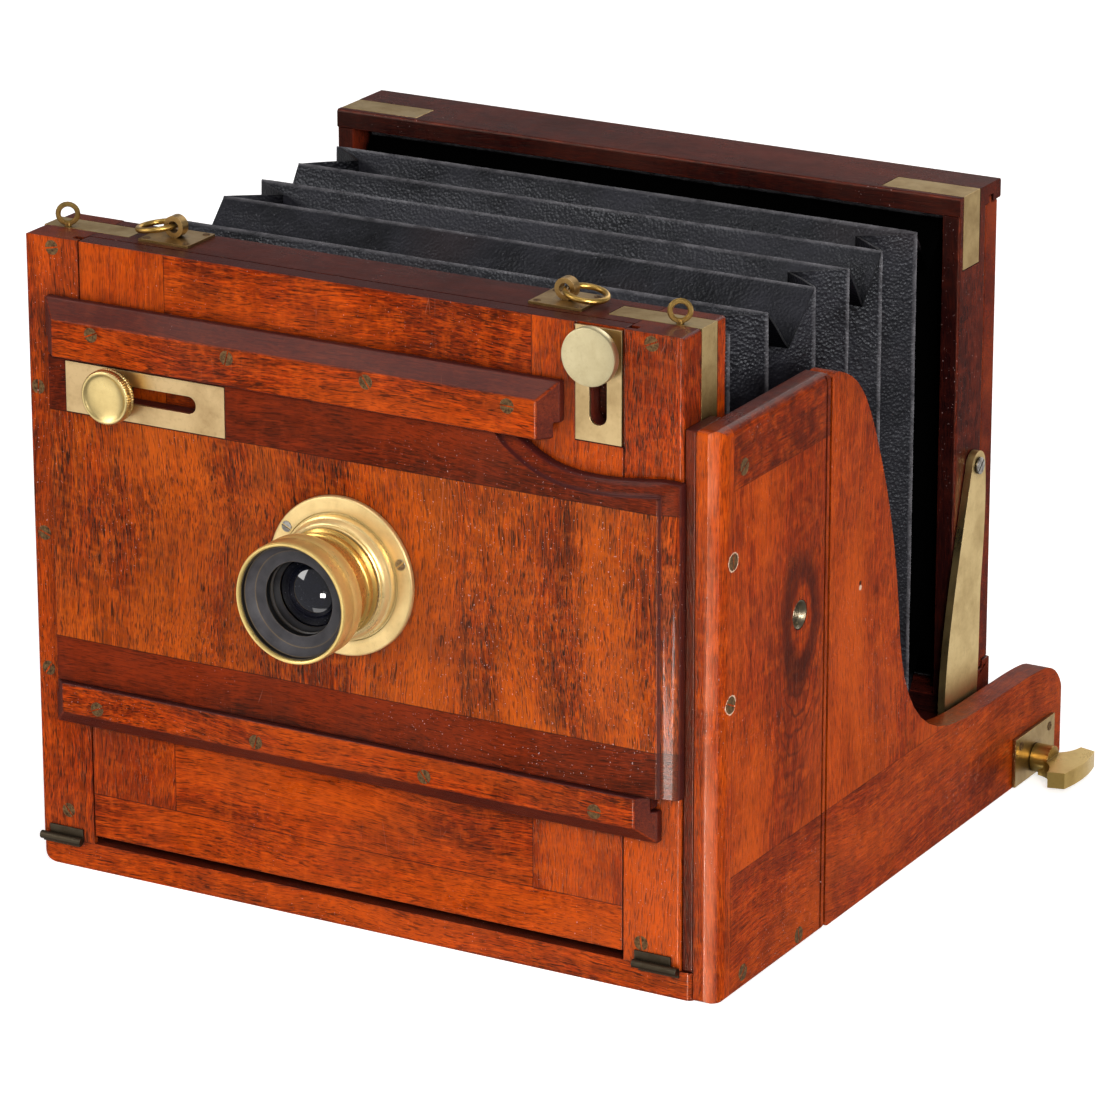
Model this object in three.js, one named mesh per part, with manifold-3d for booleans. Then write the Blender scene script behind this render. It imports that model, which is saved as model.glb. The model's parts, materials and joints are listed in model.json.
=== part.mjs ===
// A wooden view camera of the 10 by 8 inch class with square bellows, built as separate named pieces.
// Millimetres. X runs across the camera, Y from the lens board to the focusing screen, Z is up.
// Lengths along Y are counted from the front face of the front frame; the last lines move the
// whole camera so that the origin is in the middle of the front section's underside.
import * as THREE from "three";
import { mergeVertices } from "three/addons/utils/BufferGeometryUtils.js";
import Module from "manifold-3d";

const wasm = await Module();
wasm.setup();

// ---------------------------------------------------------------- driving dimensions
const FIT = 0.3; // gap between pieces that slide or are let into each other
const FRAME_HALF = 166.5; // half width of the front frame and the rear frame
const FRAME_TOP = 300;
const FRONT_DEPTH = 37.7;
const BASE = 13; // half inch boards
const SECTION_DEPTH = 103.4; // front section of the base, which holds the folded camera
const TAIL_END = 355.4;
const PANEL_HALF = 138; // half width of the rising panel
const PANEL_DEPTH = 9;
const PANEL_BOTTOM = 17;

const WING = { inside: 172.3, outside: 184.3, top: 260.9, front: 0.7 };
const LENS = { x: 2.5, z: 170, hole: 24 }; // lens axis, and the radius of its hole in the board
const BOARD_FACE = -8; // front face of the lens board
const RAIL_FACE = -11;
const UPPER_RAIL = { left: -154, right: 109, bottom: 248, top: 273.5 };
const LOWER_RAIL = { left: -154, right: 157, bottom: 72, top: 94 };
const TONGUE = 6; // lens board tongue that runs behind each rail

const REAR = { front: 266, channel: 294, back: 309, bottom: 44.6, top: 295.7, wall: 9 };
const SCREEN = { bottom: 61.3, top: 286.2, rim: 24, depth: 12.6 };
const CARRIAGE = { front: 250, bottom: 31, top: 44.3, foot: 14 };
const BELLOWS = { half: 154, bottom: 58, top: 283, fold: 21, back: 290 };
const CRESTS = [64, 100, 145, 178, 211, 246, 278]; // outer folds of the bellows

const BUSH_Y = 74.9; // tripod bushes sit at the balance point of the folded camera
const SIDE_BUSH_Z = 157.3;
const RISE_KNOB = { x: 125.5, z: 288, slot: 8.4, bottom: 255.5 };
const SHIFT_KNOB = { x: -114, z: 235.6, slot: 8, right: -72.3 };
const SCREW_HOLE = 3.4; // radius of the holes that the two clamp screws pass through
const STRUT_HOLE = 2.6; // radius of the holes for the struts' screws
const STRUT = { pivotY: 283.5, pivotZ: 163.7, thick: 3.5, studY: 267, studZ: 38 };
const LATCH = { y: 321, z: 9, front: 299, back: 342.6, bottom: 0.4, top: 24.4, hole: 3.6 };

// ---------------------------------------------------------------- materials
const material = (color, roughness, metalness = 0) =>
  new THREE.MeshStandardMaterial({ color, roughness, metalness });
const mahogany = () => material(0x8e3312, 0.3);
const darkMahogany = () => material(0x4c1c16, 0.28);
const paleMahogany = () => material(0xb4501a, 0.32);
const brass = () => material(0xb89a4e, 0.35, 1);
const oldBrass = () => material(0x6e5c36, 0.5, 1);
const leather = () => material(0x1d1d22, 0.55);
const blackPaint = () => material(0x141416, 0.6);
const clearGlass = () => material(0x2a3140, 0.05);
const groundGlass = () => material(0xc9d2d0, 0.6);

// ---------------------------------------------------------------- solids
// A closed three.js geometry as a solid, turned the right way round if it is inside out.
function solid(geometry) {
  const bare = geometry.clone();
  bare.deleteAttribute("normal");
  bare.deleteAttribute("uv");
  const merged = mergeVertices(bare, 1e-4);
  const vertices = merged.attributes.position.array;
  const index = [];
  for (let i = 0; i < merged.index.count; i += 3) {
    const [a, b, c] = [0, 1, 2].map((k) => merged.index.getX(i + k));
    if (a !== b && b !== c && c !== a) index.push(a, b, c);
  }
  const make = (triangles) =>
    new wasm.Manifold(
      new wasm.Mesh({
        numProp: 3,
        vertProperties: new Float32Array(vertices),
        triVerts: new Uint32Array(triangles),
      }),
    );
  const made = make(index);
  return made.volume() > 0 ? made : make([...index].reverse());
}

const join = (first, ...others) => others.reduce((a, b) => a.add(b), first);
const cut = (first, ...tools) => tools.reduce((a, b) => a.subtract(b), first);

function box(x0, x1, y0, y1, z0, z1) {
  const shape = new THREE.BoxGeometry(x1 - x0, y1 - y0, z1 - z0);
  return solid(shape.translate((x0 + x1) / 2, (y0 + y1) / 2, (z0 + z1) / 2));
}

// Turns that carry a drawing's own x, y and thickness onto the camera's axes.
const PLANES = {
  xy: new THREE.Matrix4(),
  xz: new THREE.Matrix4().makeBasis(
    new THREE.Vector3(1, 0, 0),
    new THREE.Vector3(0, 0, 1),
    new THREE.Vector3(0, -1, 0),
  ),
  yz: new THREE.Matrix4().makeBasis(
    new THREE.Vector3(0, 1, 0),
    new THREE.Vector3(0, 0, 1),
    new THREE.Vector3(1, 0, 0),
  ),
};

// A drawing in one plane, given thickness between two places on the third axis.
function plate(plane, shape, from, to, curveSegments = 6) {
  const depth = to - from;
  const geometry = new THREE.ExtrudeGeometry(shape, { depth, bevelEnabled: false, curveSegments });
  geometry.applyMatrix4(PLANES[plane]);
  const [dx, dy, dz] = { xy: [0, 0, from], xz: [0, to, 0], yz: [from, 0, 0] }[plane];
  return solid(geometry.translate(dx, dy, dz));
}

function outline(points) {
  return new THREE.Shape(points.map(([x, y]) => new THREE.Vector2(x, y)));
}

// A rectangle whose corners have their own radii, counted from the lower left, anticlockwise.
function roundedRectangle(x0, x1, y0, y1, radii) {
  const [ll, lr, ur, ul] = radii;
  const shape = new THREE.Shape().moveTo(x0 + ll, y0).lineTo(x1 - lr, y0);
  if (lr) shape.absarc(x1 - lr, y0 + lr, lr, -Math.PI / 2, 0, false);
  shape.lineTo(x1, y1 - ur);
  if (ur) shape.absarc(x1 - ur, y1 - ur, ur, 0, Math.PI / 2, false);
  shape.lineTo(x0 + ul, y1);
  if (ul) shape.absarc(x0 + ul, y1 - ul, ul, Math.PI / 2, Math.PI, false);
  shape.lineTo(x0, y0 + ll);
  if (ll) shape.absarc(x0 + ll, y0 + ll, ll, Math.PI, 1.5 * Math.PI, false);
  return shape;
}

// A slot with round ends: its centre line runs between two places and it is wide across.
function slotShape(xa, ya, xb, yb, wide) {
  const angle = Math.atan2(yb - ya, xb - xa);
  const shape = new THREE.Shape();
  shape.absarc(xb, yb, wide / 2, angle - Math.PI / 2, angle + Math.PI / 2, false);
  shape.absarc(xa, ya, wide / 2, angle + Math.PI / 2, angle + 1.5 * Math.PI, false);
  return shape;
}

const AXES = {
  x: new THREE.Matrix4().makeRotationZ(-Math.PI / 2),
  y: new THREE.Matrix4(),
  z: new THREE.Matrix4().makeRotationX(Math.PI / 2),
};

// A turned piece: its profile is [radius, place along the axis] and starts and ends on the axis,
// or closes on itself when it is a ring.
function turned(profile, axis, centre, segments = 24) {
  const points = profile.map(([r, t]) => new THREE.Vector2(r, t));
  const geometry = new THREE.LatheGeometry(points, segments).applyMatrix4(AXES[axis]);
  return solid(geometry.translate(...centre));
}

function rod(radius, from, to, axis, centre, segments = 20) {
  return turned([[0, from], [radius, from], [radius, to], [0, to]], axis, centre, segments);
}

function ringOf(radius, wire, turn, centre, segments = 28) {
  const geometry = new THREE.TorusGeometry(radius, wire, 6, segments);
  geometry.applyMatrix4(new THREE.Matrix4().makeRotationFromEuler(turn));
  return solid(geometry.translate(...centre));
}

function meshOf(name, body, look) {
  const data = body.getMesh();
  const geometry = new THREE.BufferGeometry();
  geometry.setAttribute("position", new THREE.BufferAttribute(data.vertProperties, 3));
  geometry.setIndex(new THREE.BufferAttribute(data.triVerts, 1));
  const mesh = new THREE.Mesh(geometry.toNonIndexed(), look);
  mesh.geometry.computeVertexNormals();
  mesh.name = name;
  return mesh;
}

const camera = new THREE.Group();
function add(name, body, look) {
  camera.add(meshOf(name, body, look));
}

// ---------------------------------------------------------------- base: front section
const wingPlane = WING.inside - FIT / 2;

// Tripod bush: a plain brass sleeve let in flush. Its bore is three eighths of an inch.
const BUSH = { bore: 4.76, outer: 6.5, long: 10.5 };

function bush(axis, centre) {
  const { bore, outer, long } = BUSH;
  return turned([[bore, 0], [outer, 0], [outer, long], [bore, long], [bore, 0]], axis, centre);
}

const bushHole = (axis, centre) => rod(BUSH.outer + FIT, -1, 20, axis, centre);

function baseBoard() {
  const drawing = roundedRectangle(-FRAME_HALF - 0.7, WING.inside, 0, BASE, [8, 0, 0, 3]);
  const board = plate("xz", drawing, 0, SECTION_DEPTH - FIT / 2);
  const nose = roundedRectangle(-FRAME_HALF - 0.7, WING.inside, 0, SECTION_DEPTH, [4, 3, 0, 0]);
  return cut(board.intersect(plate("xy", nose, 0, BASE)), bushHole("z", [0, BUSH_Y, 0]));
}

function wingBoard() {
  const quirk = 1.4; // narrow groove that makes a bead along the back edge
  const back = SECTION_DEPTH - FIT / 2;
  const plan = roundedRectangle(WING.inside, WING.outside, WING.front, back, [0, 9, 2.2, 0]);
  const end = roundedRectangle(WING.inside, WING.outside, 0, WING.top, [0, 2, 5, 2]);
  const side = roundedRectangle(WING.front, back, 0, WING.top, [2, 5, 6, 3]);
  const board = plate("xy", plan, 0, WING.top)
    .intersect(plate("xz", end, 0, SECTION_DEPTH))
    .intersect(plate("yz", side, WING.inside, WING.outside));
  const groove = box(WING.outside - quirk, WING.outside + 1, back - 5.4, back - 5.4 + quirk, -1, 270);
  const hole = bushHole("x", [WING.outside, BUSH_Y, SIDE_BUSH_Z]);
  return cut(board, groove, mirrorX(hole, WING.outside));
}

// The same solid seen in a mirror that stands at one X.
function mirrorX(body, at) {
  return body.mirror([1, 0, 0]).translate([2 * at, 0, 0]);
}

function buildFrontSection() {
  add("base_board", baseBoard(), mahogany());
  add("base_bush", bush("z", [0, BUSH_Y, 0]), brass());
  const wing = wingBoard();
  add("right_wing", wing, paleMahogany());
  const spacerDepth = 24;
  const spacer = box(FRAME_HALF + FIT, wingPlane, WING.front, spacerDepth, BASE + FIT, WING.top - 1);
  add("wing_spacer", spacer, darkMahogany());
  const sideBush = mirrorX(bush("x", [WING.outside, BUSH_Y, SIDE_BUSH_Z]), WING.outside);
  add("side_bush", sideBush, brass());
}

// ---------------------------------------------------------------- front frame
const GROOVE = { front: 2.7, back: 6.3, deep: 4.4 };

function stile(sign) {
  const outer = roundedRectangle(PANEL_HALF + FIT, FRAME_HALF, 0, FRONT_DEPTH, [0, 2, 1, 0]);
  const top = roundedRectangle(PANEL_HALF + FIT, FRAME_HALF, BASE, FRAME_TOP, [0, 0, 2, 0]);
  const post = plate("xy", outer, BASE, FRAME_TOP).intersect(plate("xz", top, 0, FRONT_DEPTH));
  const inner = PANEL_HALF + FIT + GROOVE.deep;
  const groove = box(PANEL_HALF - 1, inner, GROOVE.front, GROOVE.back, BASE - 1, FRAME_TOP + 1);
  const made = cut(post, groove, strap(FRONT_STRAP, FIT));
  return sign > 0 ? made : made.mirror([1, 0, 0]);
}

// Brass angle let into the top outer corner of a frame, drawn for the right-hand side.
const FRONT_STRAP = { front: 16, back: 30, along: 45, down: 42, top: FRAME_TOP, deep: 1.6 };
const REAR_STRAP = { front: 270, back: 287, along: 42, down: 35, top: REAR.top, deep: 1.6 };

function strap(size, grow = 0) {
  const { front, back, along, down, top, deep } = size;
  const inner = FRAME_HALF - along - grow;
  const over = box(inner, FRAME_HALF + grow, front - grow, back + grow, top - deep - grow, top + grow);
  const side = box(
    FRAME_HALF - deep - grow, FRAME_HALF + grow, front - grow, back + grow, top - down - grow, top + grow,
  );
  return join(over, side);
}

const bothSides = (body) => [body, body.mirror([1, 0, 0])];

// The top rail reaches down behind the whole rise slot, so that no light gets in through it.
function frontTopRail() {
  const bottom = RISE_KNOB.bottom - 5.5;
  const drawing = roundedRectangle(PANEL_DEPTH + 0.5, FRONT_DEPTH, bottom, FRAME_TOP, [0, 0, 1, 0]);
  const rail = plate("yz", drawing, -PANEL_HALF, PANEL_HALF);
  const screwHole = rod(SCREW_HOLE, 0, 30, "y", [RISE_KNOB.x, 5, RISE_KNOB.z], 20);
  return cut(rail, ...bothSides(strap(FRONT_STRAP, FIT)), screwHole);
}

function screwEye(x) {
  const middle = [x, 18, FRAME_TOP + 5.8];
  const eye = ringOf(4.4, 1.2, new THREE.Euler(Math.PI / 2, 0, 0.5, "ZYX"), middle, 20);
  const collar = rod(1.7, -5.7, -4, "z", middle, 12);
  return join(eye, collar);
}

const RING_PLATE = { half: 13, front: 13, back: 35.5, thick: 1.2 };
const RING_LOOP_Z = 306;

function ringPlate(x) {
  const { half, front, back, thick } = RING_PLATE;
  const base = box(x - half, x + half, front, back, FRAME_TOP + 0.02, FRAME_TOP + thick);
  const loop = turned(
    [[2.7, -2.4], [5, -2.4], [5, 2.4], [2.7, 2.4], [2.7, -2.4]],
    "y", [x, 24, RING_LOOP_Z], 20,
  );
  return join(base, loop);
}

function strapRing(x, towards) {
  const radius = 9.2;
  const tilt = new THREE.Euler(0, 0.16 * towards, 0);
  const reach = radius * Math.cos(0.16);
  const centre = [x + towards * (reach + 0.4), 24, RING_LOOP_Z - radius * Math.sin(0.16) + 0.2];
  return ringOf(radius, 1.5, tilt, centre, 24);
}

function cornerHinge() {
  const leafTop = 6;
  const face = -0.02;
  const knuckle = rod(1.9, 144, 166, "x", [0, -2.1, BASE + 0.4], 14);
  const leaf = box(144, 162, -0.9, face, BASE - 0.4, BASE + leafTop);
  const foot = box(146, 166, -0.9, face, BASE - 3, BASE + 1);
  return join(knuckle, leaf, foot);
}

function buildFrontFrame() {
  for (const [side, sign] of [["left", -1], ["right", 1]]) {
    add(`front_${side}_stile`, stile(sign), mahogany());
    const hardware = (body) => (sign > 0 ? body : body.mirror([1, 0, 0]));
    add(`front_${side}_strap`, hardware(strap(FRONT_STRAP)), oldBrass());
    add(`${side}_corner_hinge`, hardware(cornerHinge()), oldBrass());
    add(`${side}_screw_eye`, screwEye(155 * sign), brass());
  }
  add("front_top_rail", frontTopRail(), darkMahogany());
  const sill = box(-PANEL_HALF, PANEL_HALF, PANEL_DEPTH + 0.5, FRONT_DEPTH, BASE, 52);
  add("front_bottom_rail", sill, darkMahogany());
  add("left_ring_plate", ringPlate(-101.5), oldBrass());
  add("right_ring_plate", ringPlate(97), oldBrass());
  add("left_strap_ring", strapRing(-101.5, -1), brass());
  add("right_strap_ring", strapRing(97, 1), brass());
}

// ---------------------------------------------------------------- rising panel
const LIGHT_OPENING = { left: -72, right: 42, bottom: 132, top: 208 }; // behind the lens, for its travel
const RISE_PLATE = { left: 114.4, bottom: 247.8, thick: 1.2, proud: 0.3 };

function risingPanel() {
  const board = box(-PANEL_HALF + FIT, PANEL_HALF - FIT, 0, PANEL_DEPTH, PANEL_BOTTOM, FRAME_TOP);
  const tongueHalf = PANEL_HALF + GROOVE.deep - FIT;
  const tongues = box(
    -tongueHalf, tongueHalf, GROOVE.front + FIT, GROOVE.back - FIT, PANEL_BOTTOM, FRAME_TOP - 2,
  );
  const { left, right, bottom: sill, top } = LIGHT_OPENING;
  const light = box(left, right, -1, PANEL_DEPTH + 1, sill, top);
  const { x, z, slot, bottom } = RISE_KNOB;
  const riseSlot = plate("xz", slotShape(x, bottom + slot / 2, x, z + 2, slot), -1, PANEL_DEPTH + 1);
  const plateEdge = RISE_PLATE.left - 0.2;
  const plateFloor = RISE_PLATE.bottom - FIT;
  const recess = box(
    plateEdge, PANEL_HALF + 1, -1, RISE_PLATE.thick + FIT / 2, plateFloor, FRAME_TOP + 1,
  );
  const knobHole = rod(SCREW_HOLE, -3, 20, "y", [SHIFT_KNOB.x, 0, SHIFT_KNOB.z], 20);
  return cut(join(board, tongues), light, riseSlot, recess, knobHole);
}

function risePlate() {
  const { x, z, slot, bottom } = RISE_KNOB;
  const { left, bottom: low, thick, proud } = RISE_PLATE;
  const body = box(left, PANEL_HALF - 1, -proud, thick, low, FRAME_TOP - 1);
  return cut(body, plate("xz", slotShape(x, bottom + slot / 2, x, z + 2, slot), -2, 3));
}

const REBATE = BOARD_FACE + 2.6; // front of the rebate that the lens board's tongues slide in

// A guide rail with a slope along its outer edge and at both ends, and a rebate for the lens board.
function guideRail(size, slopeUp) {
  const { left, right, bottom, top } = size;
  const slope = 8; // width of the sloped edges
  const lip = -3.5; // where the slopes end, in front of the panel
  const edge = slopeUp ? top : bottom;
  const inner = slopeUp ? bottom : top;
  const turn = slopeUp ? -1 : 1;
  const section = outline([
    [0, edge], [lip, edge], [RAIL_FACE, edge + turn * slope], [RAIL_FACE, inner],
    [REBATE, inner], [REBATE, inner - turn * (TONGUE + 1)],
    [0, inner - turn * (TONGUE + 1)],
  ]);
  const plan = outline([
    [left, 0], [left, lip], [left + slope, RAIL_FACE], [right - slope, RAIL_FACE], [right, lip], [right, 0],
  ]);
  return plate("yz", section, left, right).intersect(plate("xy", plan, bottom, top));
}

function buildRisingFront() {
  add("rising_panel", risingPanel(), mahogany());
  add("rise_slot_plate", risePlate(), brass());
  const back = -FIT / 10; // the rails are screwed flat against the panel
  const seat = (body) => body.translate([0, back, 0]);
  add("upper_guide_rail", seat(guideRail(UPPER_RAIL, true)), mahogany());
  add("lower_guide_rail", seat(guideRail(LOWER_RAIL, false)), mahogany());
}

// ---------------------------------------------------------------- lens board
const BOARD = { left: -150, right: 168, bottom: LOWER_RAIL.top + FIT, top: UPPER_RAIL.bottom - FIT };

function lensBoardOutline() {
  const { left, right, bottom, top } = BOARD;
  const step = UPPER_RAIL.right - 22;
  return new THREE.Shape()
    .moveTo(left, bottom)
    .lineTo(right - 2, bottom)
    .quadraticCurveTo(right, bottom, right, bottom + 2)
    .lineTo(right, top - 12)
    .quadraticCurveTo(right, top - 9.5, right - 4, top - 10)
    .bezierCurveTo(right - 30, top - 14, step + 30, top - 16, step + 16, top - 10)
    .quadraticCurveTo(step + 7, top - 7, step, top)
    .lineTo(left, top);
}

function lensBoard() {
  const { left, right, bottom, top } = BOARD;
  const face = plate("xz", lensBoardOutline(), BOARD_FACE, -FIT);
  const nose = roundedRectangle(left, right, BOARD_FACE, -FIT, [1, 5, 1, 1]);
  const panel = face.intersect(plate("xy", nose, bottom - 1, top + 1));
  const tongueFront = REBATE + FIT;
  const tongues = join(
    box(left, UPPER_RAIL.right - 22, tongueFront, -FIT, top - 1, top + TONGUE),
    box(left, LOWER_RAIL.right - 2, tongueFront, -FIT, bottom - TONGUE, bottom + 1),
  );
  const lensHole = rod(LENS.hole, -20, 20, "y", [LENS.x, 0, LENS.z], 32);
  const { x, z, slot, right: slotEnd } = SHIFT_KNOB;
  const shiftSlot = plate("xz", slotShape(x - 1, z, slotEnd - slot / 2, z, slot), -20, 20);
  const recess = shiftPlateBody(0.2, 1, 1.3);
  return cut(join(panel, tongues), lensHole, shiftSlot, recess);
}

const SHIFT_PLATE = { left: -140.9, right: -57.3, bottom: 223, top: 246.6 };

// The slot plate's block, grown sideways, in front of the board's face and behind it.
function shiftPlateBody(grow, front, behind) {
  const { left, right, bottom, top } = SHIFT_PLATE;
  return box(
    left - grow, right + grow, BOARD_FACE - front, BOARD_FACE + behind, bottom - grow, top + grow,
  );
}

function shiftPlate() {
  const { x, z, slot, right } = SHIFT_KNOB;
  const body = shiftPlateBody(0, 0.3, 1.2);
  return cut(body, plate("xz", slotShape(x - 1, z, right - slot / 2, z, slot), -20, 20));
}

// ---------------------------------------------------------------- lens
// Radii and places along the lens axis, counted forwards from the board's face.
const RIM = 44.5; // front rim of the hood
const AT_BOARD = [LENS.x, BOARD_FACE, LENS.z];

function alongLens(profile, segments = 32) {
  return turned(profile.map(([r, t]) => [r, -t]), "y", AT_BOARD, segments);
}

function buildLens() {
  add("lens_flange", alongLens([
    [22.6, 0], [36.5, 0], [36.5, 2.2], [35.6, 3], [28.6, 3], [28.6, 6], [27.4, 8], [25.8, 9.4], [25.6, 11],
    [22.6, 11], [22.6, 0],
  ]), brass());
  add("lens_barrel", alongLens([
    [19.5, -14], [22.2, -14], [22.2, 11.3], [24.6, 11.3], [24.6, 12.6], [23.4, 13.4], [23.4, 16.4],
    [24.4, 17], [24.4, 18.2], [23.2, 18.8], [23.2, 27.8], [19.5, 27.8], [19.5, -14],
  ]), brass());
  add("lens_hood", alongLens([
    [19.5, 28.1], [26.6, 28.1], [27.6, 29.4], [27.6, 35.4], [27.2, 36], [27.6, 36.6], [27.6, RIM - 0.8],
    [27, RIM], [26, RIM], [25.6, RIM - 0.8], [25.6, 39.6], [21, 35.6], [21, 31], [19.5, 31], [19.5, 28.1],
  ]), brass());
  add("lens_baffle", alongLens([
    [16.8, 33.4], [20.7, 33.4], [20.7, 36], [25.3, 39.9], [25.3, 40.6], [17.4, 36.4], [16.8, 36],
    [16.8, 33.4],
  ]), blackPaint());
  add("front_glass", alongLens(glassProfile(19.2, 22, 27, 4.6)), clearGlass());
  add("rear_glass", alongLens(glassProfile(19.2, -12, -8, -3)), clearGlass());
}

// A lens element with one domed face, from its flat edge to the crown.
function glassProfile(radius, back, edge, dome) {
  const steps = 4;
  const face = [];
  for (let i = 0; i <= steps; i += 1) {
    const r = radius * (1 - i / steps);
    face.push([r, edge + dome * (1 - (r / radius) ** 2)]);
  }
  return [[0, back], [radius, back], ...face];
}

function buildLensBoard() {
  add("lens_board", lensBoard(), mahogany());
  add("shift_slot_plate", shiftPlate(), brass());
  buildLens();
}

// ---------------------------------------------------------------- clamp knobs
// Each knob is one turned piece with its screw; places are counted forwards from the panel's face.
function riseKnob() {
  const profile = [[0, -26], [3, -26], [3, 0.6], [6, 0.9], [6, 4.6], [13, 5], [13, 9], [12.6, 9.5], [0, 9.5]];
  return turned(profile.map(([r, t]) => [r, -t]), "y", [RISE_KNOB.x, 0, RISE_KNOB.z], 28);
}

function shiftKnob() {
  const profile = [
    [0, -8.4], [3, -8.4], [3, 8.7], [7, 8.7], [7, 11.6], [12.4, 12], [12.4, 17.6], [11.6, 18.2],
    [10.4, 18], [8, 16.8], [4, 16.1], [0, 15.9],
  ];
  return turned(profile.map(([r, t]) => [r, -t]), "y", [SHIFT_KNOB.x, 0, SHIFT_KNOB.z], 28);
}

// ---------------------------------------------------------------- tail section
function tailWingOutline() {
  const start = SECTION_DEPTH + FIT / 2;
  return new THREE.Shape()
    .moveTo(start, 2.5)
    .quadraticCurveTo(start, 0, start + 2.5, 0)
    .lineTo(TAIL_END - 4, 0)
    .quadraticCurveTo(TAIL_END, 2, TAIL_END, 8.6)
    .lineTo(TAIL_END, 26)
    .quadraticCurveTo(TAIL_END - 2.6, 46, 334, 49.6)
    .quadraticCurveTo(322, 51.4, 300, 51.6)
    .bezierCurveTo(270, 52.4, 248, 51.6, 228, 55.5)
    .bezierCurveTo(196, 62, 179, 84, 174.6, 117)
    .bezierCurveTo(170, 160, 161, 188, 150, 213)
    .bezierCurveTo(138, 243, 128, 252.5, 110, 258.6)
    .quadraticCurveTo(start, 260, start, 256)
    .lineTo(start, 2.5);
}

function tailWing() {
  const board = plate("yz", tailWingOutline(), WING.inside, WING.outside, 8);
  const edges = roundedRectangle(SECTION_DEPTH - 1, TAIL_END, WING.inside, WING.outside, [0, 0, 3, 0]);
  const plan = outline(edges.getPoints(6).map((p) => [p.y, p.x]));
  return board.intersect(plate("xy", plan, -1, 262));
}

function tailFloor() {
  const left = -FRAME_HALF - 0.7;
  const drawing = roundedRectangle(left, wingPlane, SECTION_DEPTH + FIT / 2, TAIL_END, [0, 0, 0, 10]);
  return plate("xy", drawing, 0, BASE);
}

const RUNNER = { inside: 137, outside: 145, tall: 9 }; // keeps the carriage's feet in line

function runner(sign, from, to) {
  const { inside, outside, tall } = RUNNER;
  const body = box(inside, outside, from, to, BASE, BASE + tall);
  return sign > 0 ? body : body.mirror([1, 0, 0]);
}

function latchPlate() {
  const { front, back, bottom, top, hole } = LATCH;
  const body = box(WING.outside + 0.02, WING.outside + 1.8, front, back, bottom, top);
  return cut(body, rod(hole, -10, 10, "x", [WING.outside, LATCH.y, LATCH.z]));
}

// A thumb lever: round boss, flat stalk and a cross bar with hollowed shoulders.
function latchLever() {
  const out = WING.outside + 2.1;
  const boss = rod(7, 0, 9, "x", [out, LATCH.y, LATCH.z], 24);
  const spindle = rod(LATCH.hole - 0.4, -13, 1, "x", [out, LATCH.y, LATCH.z], 16);
  const drawing = new THREE.Shape()
    .moveTo(out + 4, LATCH.y - 6)
    .quadraticCurveTo(out + 13, LATCH.y - 7, out + 15, LATCH.y - 19)
    .lineTo(out + 23, LATCH.y - 17)
    .quadraticCurveTo(out + 27, LATCH.y, out + 23, LATCH.y + 17)
    .lineTo(out + 15, LATCH.y + 19)
    .quadraticCurveTo(out + 13, LATCH.y + 7, out + 4, LATCH.y + 6);
  const blade = plate("xy", drawing, LATCH.z - 6.5, LATCH.z + 1.5, 8);
  return join(boss, spindle, blade);
}

function buildTail() {
  add("tail_floor", tailFloor(), mahogany());
  const spindleHole = rod(LATCH.hole, -20, 5, "x", [WING.outside, LATCH.y, LATCH.z]);
  add("tail_wing", cut(tailWing(), spindleHole), paleMahogany());
  for (const [side, sign] of [["left", -1], ["right", 1]]) {
    add(`${side}_front_runner`, runner(sign, FRONT_DEPTH + 1, SECTION_DEPTH - FIT), darkMahogany());
    add(`${side}_tail_runner`, runner(sign, SECTION_DEPTH + FIT, TAIL_END - 8), darkMahogany());
  }
  add("latch_plate", latchPlate(), brass());
  add("latch_lever", latchLever(), brass());
}

// ---------------------------------------------------------------- rear standard
function carriageBoard() {
  const { front, bottom, top, foot } = CARRIAGE;
  const half = FRAME_HALF;
  const board = box(-half, half, front, REAR.back + 2, bottom, top);
  const inset = 6; // the feet stand in a little from the ends
  const rightFoot = box(half - foot - inset, half - inset, front, REAR.back + 2, BASE + FIT, bottom + 1);
  const feet = bothSides(rightFoot);
  const studHoles = bothSides(rod(STRUT_HOLE, -12, 3, "x", [half, STRUT.studY, STRUT.studZ], 16));
  return cut(join(board, ...feet), ...studHoles);
}

function rearSide(sign) {
  const back = sign > 0 ? REAR.channel - FIT : REAR.back;
  const plan = roundedRectangle(FRAME_HALF - REAR.wall, FRAME_HALF, REAR.front, back, [1, 1.5, 1.5, 1]);
  const side = plate("xy", plan, REAR.bottom + REAR.wall, REAR.top - REAR.wall);
  const pivotHole = rod(STRUT_HOLE, -12, 3, "x", [FRAME_HALF, STRUT.pivotY, STRUT.pivotZ], 16);
  const made = cut(side, strap(REAR_STRAP, FIT), pivotHole);
  return sign > 0 ? made : made.mirror([1, 0, 0]);
}

const SCREEN_GROOVE = { front: 2.7, back: 7.3, deep: 3.4 }; // places behind the channel's front

// Cutting tool for a groove that the focusing screen's tongue slides in, open at the right end.
function screenGroove(low, high) {
  const { front, back } = SCREEN_GROOVE;
  const left = -FRAME_HALF + REAR.wall;
  return box(left, FRAME_HALF + 4, REAR.channel + front, REAR.channel + back, low, high);
}

function rearTopRail() {
  const { front, back, top, wall } = REAR;
  const drawing = roundedRectangle(front, back, top - wall, top, [1, 1, 1.5, 1.5]);
  const rail = plate("yz", drawing, -FRAME_HALF, FRAME_HALF);
  const groove = screenGroove(top - wall - 1, top - wall + SCREEN_GROOVE.deep);
  return cut(rail, groove, ...bothSides(strap(REAR_STRAP, FIT)));
}

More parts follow.
